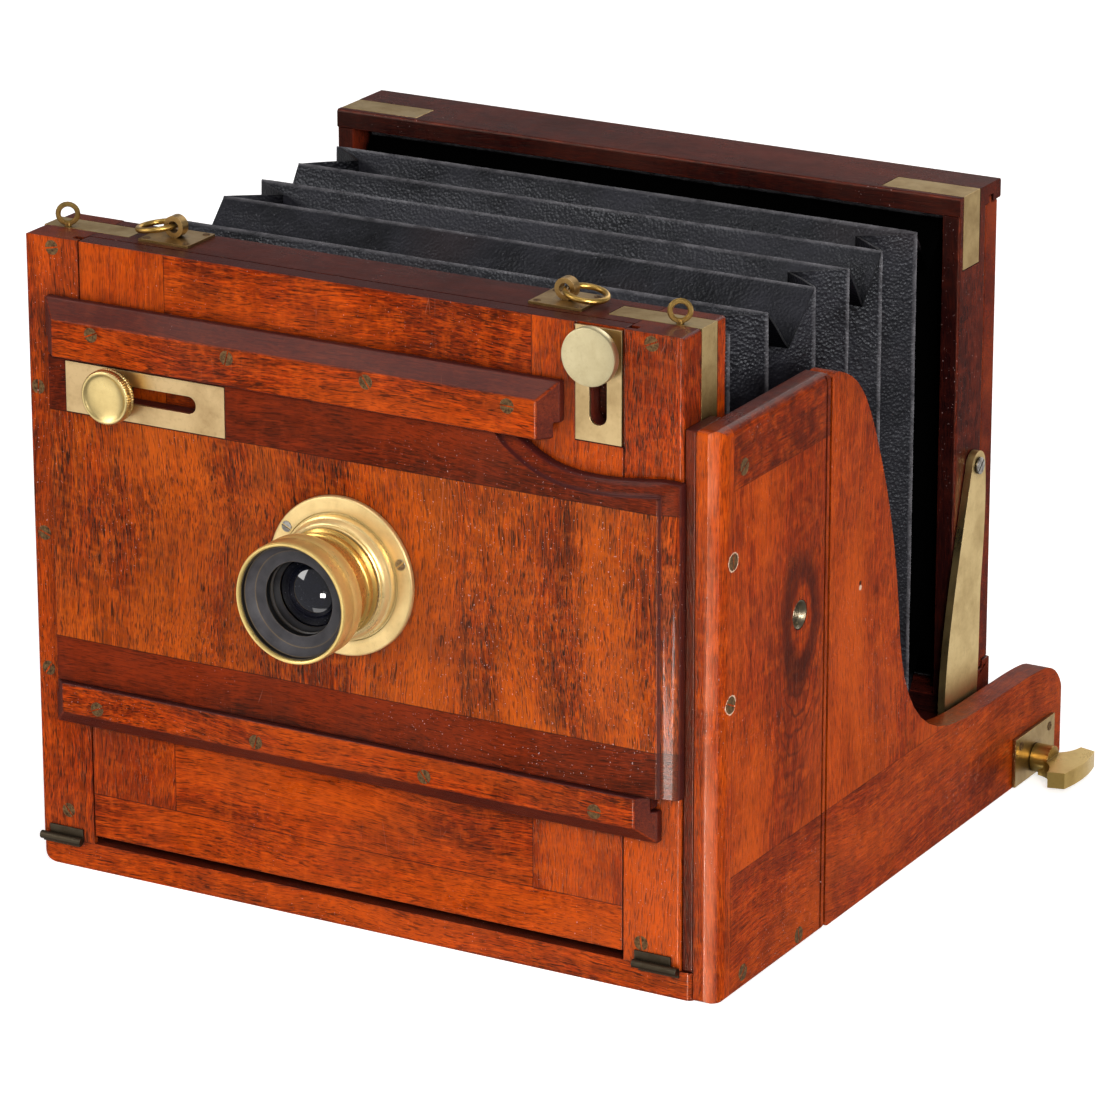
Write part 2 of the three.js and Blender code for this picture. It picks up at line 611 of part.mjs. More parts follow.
function rearBottomRail() {
  const { front, back, bottom, wall, channel } = REAR;
  const sill = box(-FRAME_HALF, FRAME_HALF, front, back, bottom, bottom + wall);
  const right = box(-FRAME_HALF + wall + FIT, FRAME_HALF, channel, back, bottom + 1, SCREEN.bottom - FIT);
  const groove = screenGroove(SCREEN.bottom - SCREEN_GROOVE.deep - 0.6, SCREEN.bottom + 1);
  return cut(join(sill, right), groove);
}

function buildRearStandard() {
  add("carriage_board", carriageBoard(), darkMahogany());
  add("rear_top_rail", rearTopRail(), darkMahogany());
  add("rear_bottom_rail", rearBottomRail(), darkMahogany());
  for (const [side, sign] of [["left", -1], ["right", 1]]) {
    add(`rear_${side}_side`, rearSide(sign), darkMahogany());
    const hardware = (body) => (sign > 0 ? body : body.mirror([1, 0, 0]));
    add(`rear_${side}_strap`, hardware(strap(REAR_STRAP)), oldBrass());
    add(`${side}_strut`, hardware(strutBar()), brass());
    add(`${side}_strut_pivot`, hardware(strutScrew(STRUT.pivotY, STRUT.pivotZ, 4)), oldBrass());
    add(`${side}_strut_stud`, hardware(strutScrew(STRUT.studY, STRUT.studZ, 3.6)), oldBrass());
  }
}

// ---------------------------------------------------------------- struts
const STRUT_FACE = FRAME_HALF + 0.5;

function strutBar() {
  const { pivotY: y, pivotZ: z, thick, studY, studZ } = STRUT;
  const drawing = new THREE.Shape()
    .moveTo(y + 7, z)
    .absarc(y, z, 7, 0, Math.PI, false)
    .bezierCurveTo(y - 13, z - 20, y - 20, z - 44, y - 25, z - 66)
    .bezierCurveTo(y - 30, z - 88, y - 31.5, z - 100, y - 31.8, z - 132)
    .lineTo(y + 1, z - 132)
    .bezierCurveTo(y + 6, z - 100, y + 4, z - 80, y + 5, z - 60)
    .bezierCurveTo(y + 7.5, z - 36, y + 9.4, z - 20, y + 7, z);
  const bar = plate("yz", drawing, STRUT_FACE, STRUT_FACE + thick, 8);
  const pivotHole = rod(STRUT_HOLE, -5, 10, "x", [STRUT_FACE, y, z], 16);
  const notchShape = slotShape(studY, studZ, studY + 40, studZ - 4, 5.2); // open towards the back
  const notch = plate("yz", notchShape, STRUT_FACE - 1, STRUT_FACE + 5);
  return cut(bar, pivotHole, notch);
}

// A round-headed screw that holds the strut: shank in the wood, head outside the bar.
function strutScrew(y, z, head) {
  const start = STRUT_FACE + STRUT.thick + FIT;
  const profile = [[0, -14], [2.3, -14], [2.3, 0], [head, 0], [head, 0.5], [head - 1, 0.9], [0, 1]];
  return turned(profile, "x", [start, y, z], 16);
}

// ---------------------------------------------------------------- focusing screen
const SCREEN_LEFT = -FRAME_HALF + REAR.wall + FIT;
const SCREEN_RIGHT = FRAME_HALF - 0.6;

function screenFrame() {
  const { bottom, top, rim, depth } = SCREEN;
  const [left, right, front] = [SCREEN_LEFT, SCREEN_RIGHT, REAR.channel + 0.6];
  const body = box(left, right, front, front + depth, bottom, top);
  const tongues = box(left, right, REAR.channel + 3, REAR.channel + 7, bottom - 3.2, top + 3.2);
  const opening = box(left + rim, right - rim, front - 5, front + depth + 5, bottom + rim, top - rim);
  const inner = rim - 5;
  const rebate = box(
    left + inner, right - inner, front - 5, front + 3.2, bottom + inner, top - inner,
  );
  return cut(join(body, tongues), opening, rebate);
}

function buildScreen() {
  add("screen_frame", screenFrame(), mahogany());
  const { bottom, top, rim } = SCREEN;
  const [left, right, front] = [SCREEN_LEFT, SCREEN_RIGHT, REAR.channel + 0.7];
  const edge = 4.6; // how far the glass reaches into the frame's rebate
  const pane = box(
    left + rim - edge, right - rim + edge, front, front + 2.8, bottom + rim - edge, top - rim + edge,
  );
  add("ground_glass", pane, groundGlass());
}

// ---------------------------------------------------------------- bellows
// Profile of one wall of the bellows: distance from the middle against place along the camera.
function foldedWall(outer) {
  const start = FRONT_DEPTH + 4.4;
  const points = [[start, outer - BELLOWS.fold]];
  CRESTS.forEach((crest, i) => {
    points.push([crest, outer]);
    const next = CRESTS[i + 1] ?? BELLOWS.back;
    if (i + 1 < CRESTS.length) points.push([(crest + next) / 2, outer - BELLOWS.fold]);
  });
  points.push([BELLOWS.back - 0.3, outer - BELLOWS.fold]);
  return points;
}

function bellowsSolid(shrink) {
  const { half, bottom, top } = BELLOWS;
  const middle = (bottom + top) / 2;
  const wall = foldedWall(half - shrink);
  const height = foldedWall((top - bottom) / 2 - shrink);
  const longer = shrink ? 5 : 0;
  const stretch = ([y, r], i, list) => {
    if (i === 0) return [y - longer, r];
    return i === list.length - 1 ? [y + longer, r] : [y, r];
  };
  const plan = wall.map(stretch);
  const side = height.map(stretch);
  const planShape = outline([...plan.map(([y, r]) => [r, y]), ...plan.reverse().map(([y, r]) => [-r, y])]);
  const sideShape = outline([
    ...side.map(([y, r]) => [y, middle + r]), ...side.reverse().map(([y, r]) => [y, middle - r]),
  ]);
  return plate("xy", planShape, bottom, top).intersect(plate("yz", sideShape, -half, half));
}

function batten(front, back, half, bottom, top, wide) {
  const body = box(-half, half, front, back, bottom, top);
  return cut(body, box(-half + wide, half - wide, front - 1, back + 1, bottom + wide, top - wide));
}

function buildBellows() {
  const thick = 2.2;
  add("bellows", cut(bellowsSolid(0), bellowsSolid(thick)), leather());
  const { half, bottom, top, fold, back } = BELLOWS;
  const reach = half - fold + 10;
  const low = bottom + fold - 10;
  const high = top - fold + 10;
  add("bellows_front_batten", batten(FRONT_DEPTH, FRONT_DEPTH + 4, reach, low, high, 16), blackPaint());
  const rear = FRAME_HALF - REAR.wall - FIT;
  const rearBatten = batten(
    back, REAR.channel - FIT, rear, REAR.bottom + REAR.wall + FIT, REAR.top - REAR.wall - FIT, 30,
  );
  add("bellows_rear_batten", rearBatten, blackPaint());
}

buildFrontSection();
buildFrontFrame();
buildRisingFront();
buildLensBoard();
add("rise_knob", riseKnob(), brass());
add("shift_knob", shiftKnob(), brass());
buildTail();
buildRearStandard();
buildScreen();
buildBellows();

camera.position.y = -SECTION_DEPTH / 2;
const part = new THREE.Group();
part.add(camera);
export default part;
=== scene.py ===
import json
import math

import bmesh
import bpy
from mathutils import Matrix, Vector, noise

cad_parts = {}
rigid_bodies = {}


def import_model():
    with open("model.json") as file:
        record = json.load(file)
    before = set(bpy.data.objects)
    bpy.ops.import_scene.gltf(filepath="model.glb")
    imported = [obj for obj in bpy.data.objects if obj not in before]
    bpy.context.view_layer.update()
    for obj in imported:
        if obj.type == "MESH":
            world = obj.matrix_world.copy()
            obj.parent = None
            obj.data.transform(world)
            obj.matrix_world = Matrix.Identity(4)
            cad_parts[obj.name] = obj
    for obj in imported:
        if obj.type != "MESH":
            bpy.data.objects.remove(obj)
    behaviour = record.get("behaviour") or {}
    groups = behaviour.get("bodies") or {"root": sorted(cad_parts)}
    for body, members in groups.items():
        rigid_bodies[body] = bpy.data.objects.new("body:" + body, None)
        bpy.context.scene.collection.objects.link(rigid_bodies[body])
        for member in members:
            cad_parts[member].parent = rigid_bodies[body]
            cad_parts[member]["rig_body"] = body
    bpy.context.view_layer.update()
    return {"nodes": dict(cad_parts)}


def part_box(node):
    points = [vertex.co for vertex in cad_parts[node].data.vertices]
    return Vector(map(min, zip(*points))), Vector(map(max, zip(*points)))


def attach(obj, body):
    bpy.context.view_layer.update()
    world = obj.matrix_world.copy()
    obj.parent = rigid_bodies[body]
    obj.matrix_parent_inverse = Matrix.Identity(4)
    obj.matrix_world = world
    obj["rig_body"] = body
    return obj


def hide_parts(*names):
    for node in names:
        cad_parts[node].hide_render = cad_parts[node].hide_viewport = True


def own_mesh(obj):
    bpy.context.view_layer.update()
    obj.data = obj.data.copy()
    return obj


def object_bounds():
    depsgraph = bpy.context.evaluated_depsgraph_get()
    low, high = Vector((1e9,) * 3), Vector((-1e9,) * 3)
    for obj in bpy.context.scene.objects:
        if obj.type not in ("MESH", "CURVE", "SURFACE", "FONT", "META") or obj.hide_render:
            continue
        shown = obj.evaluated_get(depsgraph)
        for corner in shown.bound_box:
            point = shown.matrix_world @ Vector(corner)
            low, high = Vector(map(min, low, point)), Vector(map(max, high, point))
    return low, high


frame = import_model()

MM = 0.001
OUT_FRONT = Vector((0, -1, 0))
OUT_RIGHT = Vector((1, 0, 0))
UP = Vector((0, 0, 1))


# ---------------------------------------------------------------- colours and node trees
def screen(red, green, blue):
    """A colour as seen on a screen, 0 to 255, as the linear colour that shaders use."""
    parts = [value / 255 for value in (red, green, blue)]
    linear = [part / 12.92 if part <= 0.04045 else ((part + 0.055) / 1.055) ** 2.4 for part in parts]
    return (*linear, 1.0)


class Tree:
    """A node tree. Each method adds a node, or a few, and returns their output."""

    def __init__(self, tree):
        self.tree = tree
        tree.nodes.clear()

    def node(self, kind, inputs=None, **settings):
        made = self.tree.nodes.new("ShaderNode" + kind)
        for key, value in settings.items():
            setattr(made, key, value)
        for key, value in (inputs or {}).items():
            if isinstance(value, bpy.types.NodeSocket):
                self.tree.links.new(value, made.inputs[key])
            else:
                made.inputs[key].default_value = value
        return made

    def span(self, value, low, high, to_low=0.0, to_high=1.0):
        """Maps low to high onto to_low to to_high, and holds the ends beyond them."""
        inputs = {
            "Value": value, "From Min": low, "From Max": high, "To Min": to_low, "To Max": to_high,
        }
        return self.node("MapRange", inputs).outputs[0]


class Shader(Tree):
    """One material. shift moves its patterns, so that no two boards look alike."""

    def __init__(self, name, shift=0.0):
        self.material = bpy.data.materials.new(name)
        self.material.use_nodes = True
        super().__init__(self.material.node_tree)
        self.place = self.node("TexCoord").outputs["Object"]
        offset = (shift, shift * 0.7, shift * 1.3)
        self.moved = self.node("VectorMath", {0: self.place, 1: offset}).outputs[0]

    def scaled(self, scale, vector=None):
        source = self.moved if vector is None else vector
        return self.node("Mapping", {"Vector": source, "Scale": scale}).outputs[0]

    def noise(self, vector, scale, detail=2.0, rough=0.5):
        inputs = {"Vector": vector, "Scale": scale, "Detail": detail, "Roughness": rough}
        return self.node("TexNoise", inputs).outputs[0]

    def cells(self, vector, scale, feature="F1"):
        made = self.node("TexVoronoi", {"Vector": vector, "Scale": scale}, feature=feature)
        return made.outputs["Distance"]

    def math(self, operation, first, second=0.0):
        return self.node("Math", {0: first, 1: second}, operation=operation).outputs[0]

    def times(self, first, second):
        return self.math("MULTIPLY", first, second)

    def mix(self, factor, first, second):
        return self.node("Mix", {0: factor, 6: first, 7: second}, data_type="RGBA").outputs[2]

    def blend(self, factor, first, second):
        """Like mix, for plain numbers."""
        return self.node("Mix", {0: factor, 2: first, 3: second}).outputs[0]

    def axis(self, letter):
        return self.node("SeparateXYZ", {0: self.place}).outputs[letter.upper()]

    def past(self, letter, at):
        """1 beyond a place on an axis, 0 before it."""
        return self.span(self.axis(letter), at - 0.1 * MM, at + 0.1 * MM)

    def short_of(self, letter, at):
        """1 before a place on an axis, 0 beyond it."""
        return self.span(self.axis(letter), at + 0.1 * MM, at - 0.1 * MM)

    def looks(self, letter):
        """How much the surface looks along an axis, -1 to 1."""
        normal = self.node("NewGeometry").outputs["Normal"]
        return self.node("SeparateXYZ", {0: normal}).outputs[letter.upper()]

    def away_from(self, middle, scale=(0.0, 1.0, 1.0)):
        """Distance from a point, with each axis scaled first."""
        beside = self.node("VectorMath", {0: self.place, 1: tuple(-middle)}).outputs[0]
        measured = self.scaled(scale, beside)
        return self.node("VectorMath", {0: measured}, operation="LENGTH").outputs["Value"]

    def bump(self, height, strength, distance):
        inputs = {"Height": height, "Strength": strength, "Distance": distance}
        return self.node("Bump", inputs).outputs[0]

    def rim(self, radius):
        """1 on outer and inner edges, 0 on open faces."""
        rounded = self.node("Bevel", {"Radius": radius}, samples=2).outputs[0]
        flat = self.node("NewGeometry").outputs["Normal"]
        match = self.node("VectorMath", {0: rounded, 1: flat}, operation="DOT_PRODUCT").outputs["Value"]
        return self.span(self.math("SUBTRACT", 1.0, match), 0.02, 0.3)

    def hollow(self, distance):
        """1 deep in a corner between pieces, 0 in the open."""
        seen = self.node("AmbientOcclusion", {"Distance": distance}, samples=1).outputs["AO"]
        return self.span(seen, 0.85, 0.35)

    def finish(self, **inputs):
        named = {key.replace("_", " "): value for key, value in inputs.items()}
        self.node("OutputMaterial", {0: self.node("BsdfPrincipled", named).outputs[0]})
        return self.material


# ---------------------------------------------------------------- wood
# Tones of each kind of board: pores, dark streaks, middle, light streaks.
RED = (screen(36, 9, 2), screen(100, 27, 1), screen(170, 52, 2), screen(208, 82, 8))
DARK_RED = (screen(24, 6, 5), screen(58, 17, 11), screen(92, 29, 15), screen(122, 42, 18))
ORANGE = (screen(60, 17, 1), screen(122, 36, 1), screen(174, 56, 1), screen(202, 82, 6))
STRIPED = (screen(30, 9, 2), screen(92, 26, 1), screen(164, 54, 2), screen(206, 91, 10))
BANDS = (screen(30, 7, 2), screen(70, 17, 3), screen(104, 28, 5), screen(134, 42, 8))
STRETCH = {"x": (1, 0, 0), "y": (0, 1, 0), "z": (0, 0, 1)}
DIRT_AND_SHADE = screen(22, 7, 7)  # dirt in patches, and painted shade in corners
PLUM = screen(60, 22, 22)  # painted shade on tops and on faces that turn away; also darker rounded edges
FLUSH = 0.02  # height of the stile screws, which the upper guide rail slides over
# Screws of the two rails: share of the rail's height, then shares of its length.
RAIL_SCREWS = {
    "upper_guide_rail": (0.52, (0.11, 0.38, 0.65, 0.917)),
    "lower_guide_rail": (0.56, (0.086, 0.358, 0.638, 0.912)),
}
# Millimetres across from the middle, and height; then millimetres behind the wing's front, and height.
STILE_SCREWS = (
    (-152, 295), (-161.5, 229), (-160.5, 160), (-160.5, 95), (-152, 27), (151, 295.4), (147, 22.5),
)
WING_SCREWS = ((21, 240.3), (11.7, 200.4), (10.4, 136.1), (23.6, 7.5), (77, 5.6))


def grain_scale(along, length):
    """Mapping scale that draws every spot out along the grain."""
    return tuple(1 / length if used else 1.0 for used in STRETCH[along])


def across_scale(along, length):
    """Mapping scale that draws every spot out across the grain."""
    return tuple(1.0 if used else 1 / length for used in STRETCH[along])


def wood_figure(build, along, tones, pores=1.0, seed=0.0):
    """Colour and height of one board whose grain runs along an axis."""
    pore_tone, dark, middle, light = tones
    start = build.node("VectorMath", {0: build.moved, 1: (seed, seed * 1.7, seed * 0.6)}).outputs[0]
    bend = build.node("TexNoise", {"Vector": start, "Scale": 7.0, "Detail": 1.0}).outputs["Color"]
    bent = build.node("VectorMath", {0: bend, "Scale": 0.024}, operation="SCALE").outputs[0]
    curved = build.node("VectorMath", {0: start, 1: bent}).outputs[0]
    broad = build.noise(build.scaled(grain_scale(along, 4), curved), 22.0, 3.0, 0.6)
    streak = build.noise(build.scaled(grain_scale(along, 24), curved), 230.0, 6.0, 0.72)
    thin_pore = build.noise(build.scaled(grain_scale(along, 11), curved), 2300.0, 1.0, 0.6)
    long_pore = build.noise(build.scaled(grain_scale(along, 12), curved), 1300.0, 1.0, 0.5)
    crowd = build.span(broad, 0.70, 0.36, 0.5, 1.0)
    curl = build.noise(build.scaled(across_scale(along, 2), curved), 170.0, 3.0, 0.65)
    colour = build.mix(build.span(streak, 0.38, 0.58), dark, middle)
    fine = build.noise(build.scaled(grain_scale(along, 14), curved), 950.0, 3.0, 0.7)
    colour = build.mix(build.span(fine, 0.54, 0.42, 0.0, 0.8), colour, dark)
    colour = build.mix(build.span(fine, 0.54, 0.64, 0.0, 0.55), colour, light)
    colour = build.mix(build.span(broad, 0.42, 0.66, 0.0, 0.75), colour, light)
    colour = build.mix(build.span(broad, 0.44, 0.30, 0.0, 0.45), colour, dark)
    colour = build.mix(build.span(curl, 0.48, 0.72, 0.0, 0.5), colour, light)
    deep = build.times(build.span(thin_pore, 0.53, 0.64, 0.0, 0.8 * pores), crowd)
    colour = build.mix(deep, colour, pore_tone)
    dashes = build.times(build.span(long_pore, 0.60, 0.68, 0.0, 0.9 * pores), crowd)
    colour = build.mix(dashes, colour, pore_tone)
    height = build.math("SUBTRACT", build.times(streak, 0.4), build.math("ADD", deep, dashes))
    return colour, height


def varnish(build, colour, height, shade_and_edges=1.0, shine=0.22, painted_sheen=0.0, faces=None):
    """Old varnish over a wood figure: dirt in patches, painted shade in corners and on tops, darker
    edges, pits with pale specks, part chipped varnish and part painted glint, scratches, sheen, painted
    sheen.
    With faces, surfaces that turn away from that axis get painted shade as well."""
    grime = build.noise(build.moved, 22.0, 4.0, 0.65)
    colour = build.mix(build.span(grime, 0.52, 0.72, 0.0, 0.36), colour, DIRT_AND_SHADE)
    # painted shade: surfaces that look up turn plum
    upwards = build.span(build.looks("z"), 0.45, 0.9, 0.0, 0.7)
    colour = build.mix(build.times(upwards, shade_and_edges), colour, PLUM)
    if faces:
        # painted shade: faces that turn away from the axis turn plum
        away = build.span(build.math("ABSOLUTE", build.looks(faces)), 0.97, 0.72, 0.0, 0.85)
        colour = build.mix(build.times(away, shade_and_edges), colour, PLUM)
    # rounded edges darker, more where the dirt noise is strong
    edge = build.times(build.rim(2.2 * MM), build.span(grime, 0.3, 0.6, 0.3, 0.75))
    colour = build.mix(build.times(edge, shade_and_edges), colour, PLUM)
    # painted shade: darker deep in corners between pieces
    colour = build.mix(build.times(build.hollow(6 * MM), 0.92), colour, DIRT_AND_SHADE)
    # pale specks at small dents: part chipped varnish, part painted glint
    pits = build.span(build.noise(build.moved, 1100.0, 1.0), 0.735, 0.765)
    bright = build.span(build.noise(build.moved, 13.0, 1.0), 0.5, 0.62)
    specks = build.times(pits, bright)
    colour = build.mix(build.times(specks, 0.6), colour, screen(214, 180, 176))
    lines = build.cells(build.scaled((1, 1, 0.12)), 60.0, "DISTANCE_TO_EDGE")
    scratch = build.times(build.span(lines, 0.005, 0.002), build.span(grime, 0.60, 0.66))
    colour = build.mix(build.times(scratch, 0.25), colour, screen(190, 120, 96))
    # painted sheen: pale cloudy patches over the wood
    if painted_sheen:
        cloud = build.span(build.noise(build.moved, 14.0, 3.0), 0.45, 0.7, 0.0, painted_sheen)
        colour = build.mix(cloud, colour, screen(190, 120, 100))
    ripple = build.noise(build.moved, 200.0, 2.0)
    dents = build.math("SUBTRACT", ripple, build.times(specks, 1.5))
    normal = build.bump(build.math("ADD", height, dents), 0.4, 0.16 * MM)
    smear = build.math("ADD", grime, build.times(build.noise(build.moved, 70.0, 3.0, 0.6), 0.2))
    rough = build.span(smear, 0.3, 0.8, shine, shine + 0.24)
    return build.finish(
        Base_Color=colour, Roughness=rough, Normal=normal, IOR=1.5, Specular_IOR_Level=0.14,
        Specular_Tint=(1.0, 0.62, 0.42, 1.0), Coat_Weight=0.06, Coat_Roughness=0.08,
    )


def board_wood(name, along, tones, seed, pores=1.0, shade_and_edges=1.0, shine=0.22, painted_sheen=0.0, faces=None):
    """One plain board under old varnish."""
    build = Shader(name, seed)
    colour, height = wood_figure(build, along, tones, pores)
    return varnish(build, colour, height, shade_and_edges, shine, painted_sheen, faces)


def frame_wood(name, along, seed):
    """Dark wood of the rear frame, with painted shade where it looks forwards, towards the bellows."""
    build = Shader(name, seed)
    colour, height = wood_figure(build, along, DARK_RED, 0.8)
    # painted shade: faces that look forwards go near-black
    forwards = build.span(build.looks("y"), -0.75, -0.97, 0.0, 0.8)
    colour = build.mix(forwards, colour, screen(14, 5, 7))
    return varnish(build, colour, height, 0.5, 0.16, 0.03)


def joint_line(build, colour, letter, at, where, width=0.35 * MM):
    """A dark glue line across one place on an axis."""
    near = build.math("ABSOLUTE", build.math("SUBTRACT", build.axis(letter), at))
    line = build.times(build.span(near, width, width * 0.3), where)
    return build.mix(build.times(line, 0.75), colour, screen(30, 10, 8))


def clamped_board(name, seed, clamps, field, across):
    """A panel with a field and cross-grained clamps. clamps builds the clamps' mask and joint lines;
    field and across are (grain axis, tones, share of pores)."""
    build = Shader(name, seed)
    field_colour, field_height = wood_figure(build, *field)
    clamp_colour, clamp_height = wood_figure(build, *across, 0.37)
    mask, joints = clamps(build)
    colour = build.mix(mask, field_colour, clamp_colour)
    height = build.blend(mask, field_height, clamp_height)
    for letter, at, where in joints:
        colour = joint_line(build, colour, letter, at, where)
    return build, colour, height


# ---------------------------------------------------------------- brass, leather, paint, glass
def brass(name, tone, seed=0.0, tarnish=0.5, rough=0.24, rings=False, along="z", metal=1.0):
    """Old brass: brushed or turned marks, brown tarnish in patches and corners, bright rubbed edges."""
    build = Shader(name, seed)
    patch = build.noise(build.moved, 55.0, 5.0, 0.65)
    fine = build.noise(build.moved, 420.0, 3.0, 0.7)
    brown = tuple(part * share for part, share in zip(tone, (0.42, 0.33, 0.22, 1.0)))
    colour = build.mix(build.span(patch, 0.42, 0.72, 0.0, tarnish), tone, brown)
    colour = build.mix(build.span(fine, 0.55, 0.75, 0.0, tarnish * 0.6), colour, brown)
    colour = build.mix(build.times(build.hollow(3 * MM), 0.85), colour, screen(40, 26, 12))
    lift = tuple(min(1.0, part * 1.25 + 0.03) for part in tone)
    colour = build.mix(build.times(build.rim(0.8 * MM), 0.5), colour, lift)
    if rings:
        marks = build.noise(build.scaled((0.02, 1, 0.02)), 2600.0, 2.0)
    else:
        marks = build.noise(build.scaled(grain_scale(along, 30)), 2400.0, 2.0)
    uneven = build.noise(build.moved, 150.0, 2.0)
    height = build.math("ADD", build.times(marks, 0.35), uneven)
    spread = build.span(build.math("ADD", patch, build.times(marks, 0.3)), 0.4, 0.95,
                        rough, rough + 0.28)
    return build.finish(
        Base_Color=colour, Metallic=metal, Roughness=spread, Normal=build.bump(height, 0.35, 0.05 * MM),
    )


def leather():
    """Thin pebbled black leather: fold ridges rubbed paler with a painted highlight,
    painted shade deep in the valleys and behind the last folds.
    """
    build = Shader("bellows_leather")
    ridge = build.node("Attribute", attribute_name="ridge").outputs["Fac"]
    valley = build.node("Attribute", attribute_name="valley").outputs["Fac"]
    patch = build.noise(build.moved, 30.0, 5.0, 0.65)
    pebble = build.cells(build.moved, 700.0)
    crease = build.noise(build.scaled((1, 2.2, 1)), 130.0, 4.0, 0.65)
    colour = build.mix(build.span(patch, 0.35, 0.7), screen(9, 9, 12), screen(25, 24, 31))
    brown = build.span(build.noise(build.moved, 12.0, 2.0), 0.6, 0.75, 0.0, 0.4)
    colour = build.mix(brown, colour, screen(40, 24, 22))
    dust = build.times(build.span(build.noise(build.moved, 900.0, 0.0), 0.82, 0.84), 0.35)
    colour = build.mix(dust, colour, screen(120, 120, 126))
    # painted shade deep in the valleys of the folds
    colour = build.mix(build.span(valley, 0.55, 1.0, 0.0, 0.85), colour, screen(3, 3, 4))
    last_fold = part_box("rear_top_rail")[0].y - 18 * MM
    shade = build.span(build.axis("y"), last_fold, last_fold + 5 * MM)
    colour = build.mix(shade, colour, screen(2, 2, 2))
    # fold ridges: rubbed paler, with a painted highlight
    rubbed = build.times(ridge, build.span(crease, 0.32, 0.6, 0.2, 0.85))
    colour = build.mix(rubbed, colour, screen(108, 106, 110))
    height = build.math("ADD", pebble, build.times(crease, 1.2))
    gloss = build.span(shade, 0.0, 1.0, 0.42, 0.0)
    shine = build.times(gloss, build.span(valley, 0.4, 1.0, 1.0, 0.1))
    return build.finish(
        Base_Color=colour, Roughness=build.span(patch, 0.3, 0.7, 0.24, 0.46), Specular_IOR_Level=shine,
        Normal=build.bump(height, 0.6, 0.35 * MM), Specular_Tint=(0.9, 0.93, 1.0, 1.0),
    )


def black_finish(name, rough=0.42, grey=34, worn=0.5):
    """Black lacquer on brass with rubbed grey faces, painted shade on the walls and brass on sharp edges.
    """
    build = Shader(name, 0.3)
    patch = build.noise(build.moved, 120.0, 5.0, 0.7)
    dull = screen(grey * 0.45, grey * 0.45, grey * 0.5)
    rubbed = screen(grey * 1.5, grey * 1.45, grey * 1.5)
    colour = build.mix(patch, dull, rubbed)
    # painted shade: walls that turn away from the front go near-black
    forward = build.math("ABSOLUTE", build.looks("y"))
    colour = build.mix(build.span(forward, 0.45, 0.2), colour, screen(7, 7, 8))
    scuff = build.times(build.rim(0.5 * MM), worn)
    colour = build.mix(scuff, colour, screen(150, 120, 70))
    height = build.noise(build.moved, 700.0, 3.0)
    return build.finish(
        Base_Color=colour, Roughness=build.span(patch, 0.3, 0.7, rough, rough + 0.25),
        Normal=build.bump(height, 0.3, 0.08 * MM),
    )


def shaded_black(name):
    """Near-black that hardly gives any light back: the battens' black deepened into painted shade."""
    build = Shader(name, 0.9)
    weave = build.noise(build.moved, 900.0, 2.0)
    return build.finish(
        Base_Color=build.mix(weave, screen(2, 2, 2), screen(9, 7, 8)), Specular_IOR_Level=0.05,
        Roughness=build.span(weave, 0.3, 0.7, 0.75, 0.95), Normal=build.bump(weave, 0.3, 0.1 * MM),
    )


def dark_glass():
    """A coated, dusty lens element with black behind it."""
    build = Shader("lens_glass")
    dust = build.span(build.noise(build.moved, 1500.0, 1.0), 0.70, 0.76, 0.0, 0.25)
    tint = build.mix(build.noise(build.moved, 60.0, 1.0), screen(9, 12, 22), screen(24, 24, 34))
    colour = build.mix(dust, tint, screen(150, 150, 160))
    ripple = build.noise(build.moved, 90.0, 1.0)
    return build.finish(
        Base_Color=colour, Roughness=build.span(dust, 0.0, 0.25, 0.03, 0.3), IOR=1.6,
        Specular_IOR_Level=0.8, Coat_Weight=0.6, Coat_Roughness=0.02,
        Normal=build.bump(ripple, 0.05, 0.05 * MM),
    )


def frosted_glass():
    """Ground glass: grey-green, finely matt, with a few finger marks."""
    build = Shader("ground_glass")
    marks = build.noise(build.moved, 24.0, 4.0, 0.6)
    colour = build.mix(build.span(marks, 0.35, 0.75), screen(176, 186, 180), screen(192, 200, 195))
    frost = build.noise(build.moved, 2600.0, 1.0)
    return build.finish(
        Base_Color=colour, Roughness=build.span(marks, 0.35, 0.7, 0.34, 0.5), Transmission_Weight=0.3,
        IOR=1.5, Normal=build.bump(frost, 0.4, 0.05 * MM),
    )


# ---------------------------------------------------------------- geometry helpers
def facing(point, out, turn=0.0):
    """Matrix of a place whose own Z points out; turn rotates it about that direction."""
    aimed = Vector(out).to_track_quat("Z", "Y").to_matrix().to_4x4()
    return Matrix.Translation(point) @ aimed @ Matrix.Rotation(turn, 4, "Z")


def spin(mesh, place, profile, segments=96, loop=False, ripple=None):
    """Turns a profile of (radius, height) in millimetres round the Z axis of a place."""
    rings = []
    for index, (radius, height) in enumerate(profile):
        if radius < 1e-6:
            rings.append([mesh.verts.new(place @ Vector((0, 0, height * MM)))])
            continue
        ring = []
        for step in range(segments):
            angle = 2 * math.pi * step / segments
            reach = radius + (ripple(angle, index) if ripple else 0.0)
            ring.append(mesh.verts.new(place @ Vector(
                (reach * math.cos(angle) * MM, reach * math.sin(angle) * MM, height * MM))))
        rings.append(ring)
    pairs = list(zip(rings, rings[1:]))
    if loop:
        pairs.append((rings[-1], rings[0]))
    for first, second in pairs:
        for step in range(segments):
            after = (step + 1) % segments
            corners = [
                first[step % len(first)], first[after % len(first)],
                second[after % len(second)], second[step % len(second)],
            ]
            unique = list(dict.fromkeys(corners))
            if len(unique) > 2:
                mesh.faces.new(unique)


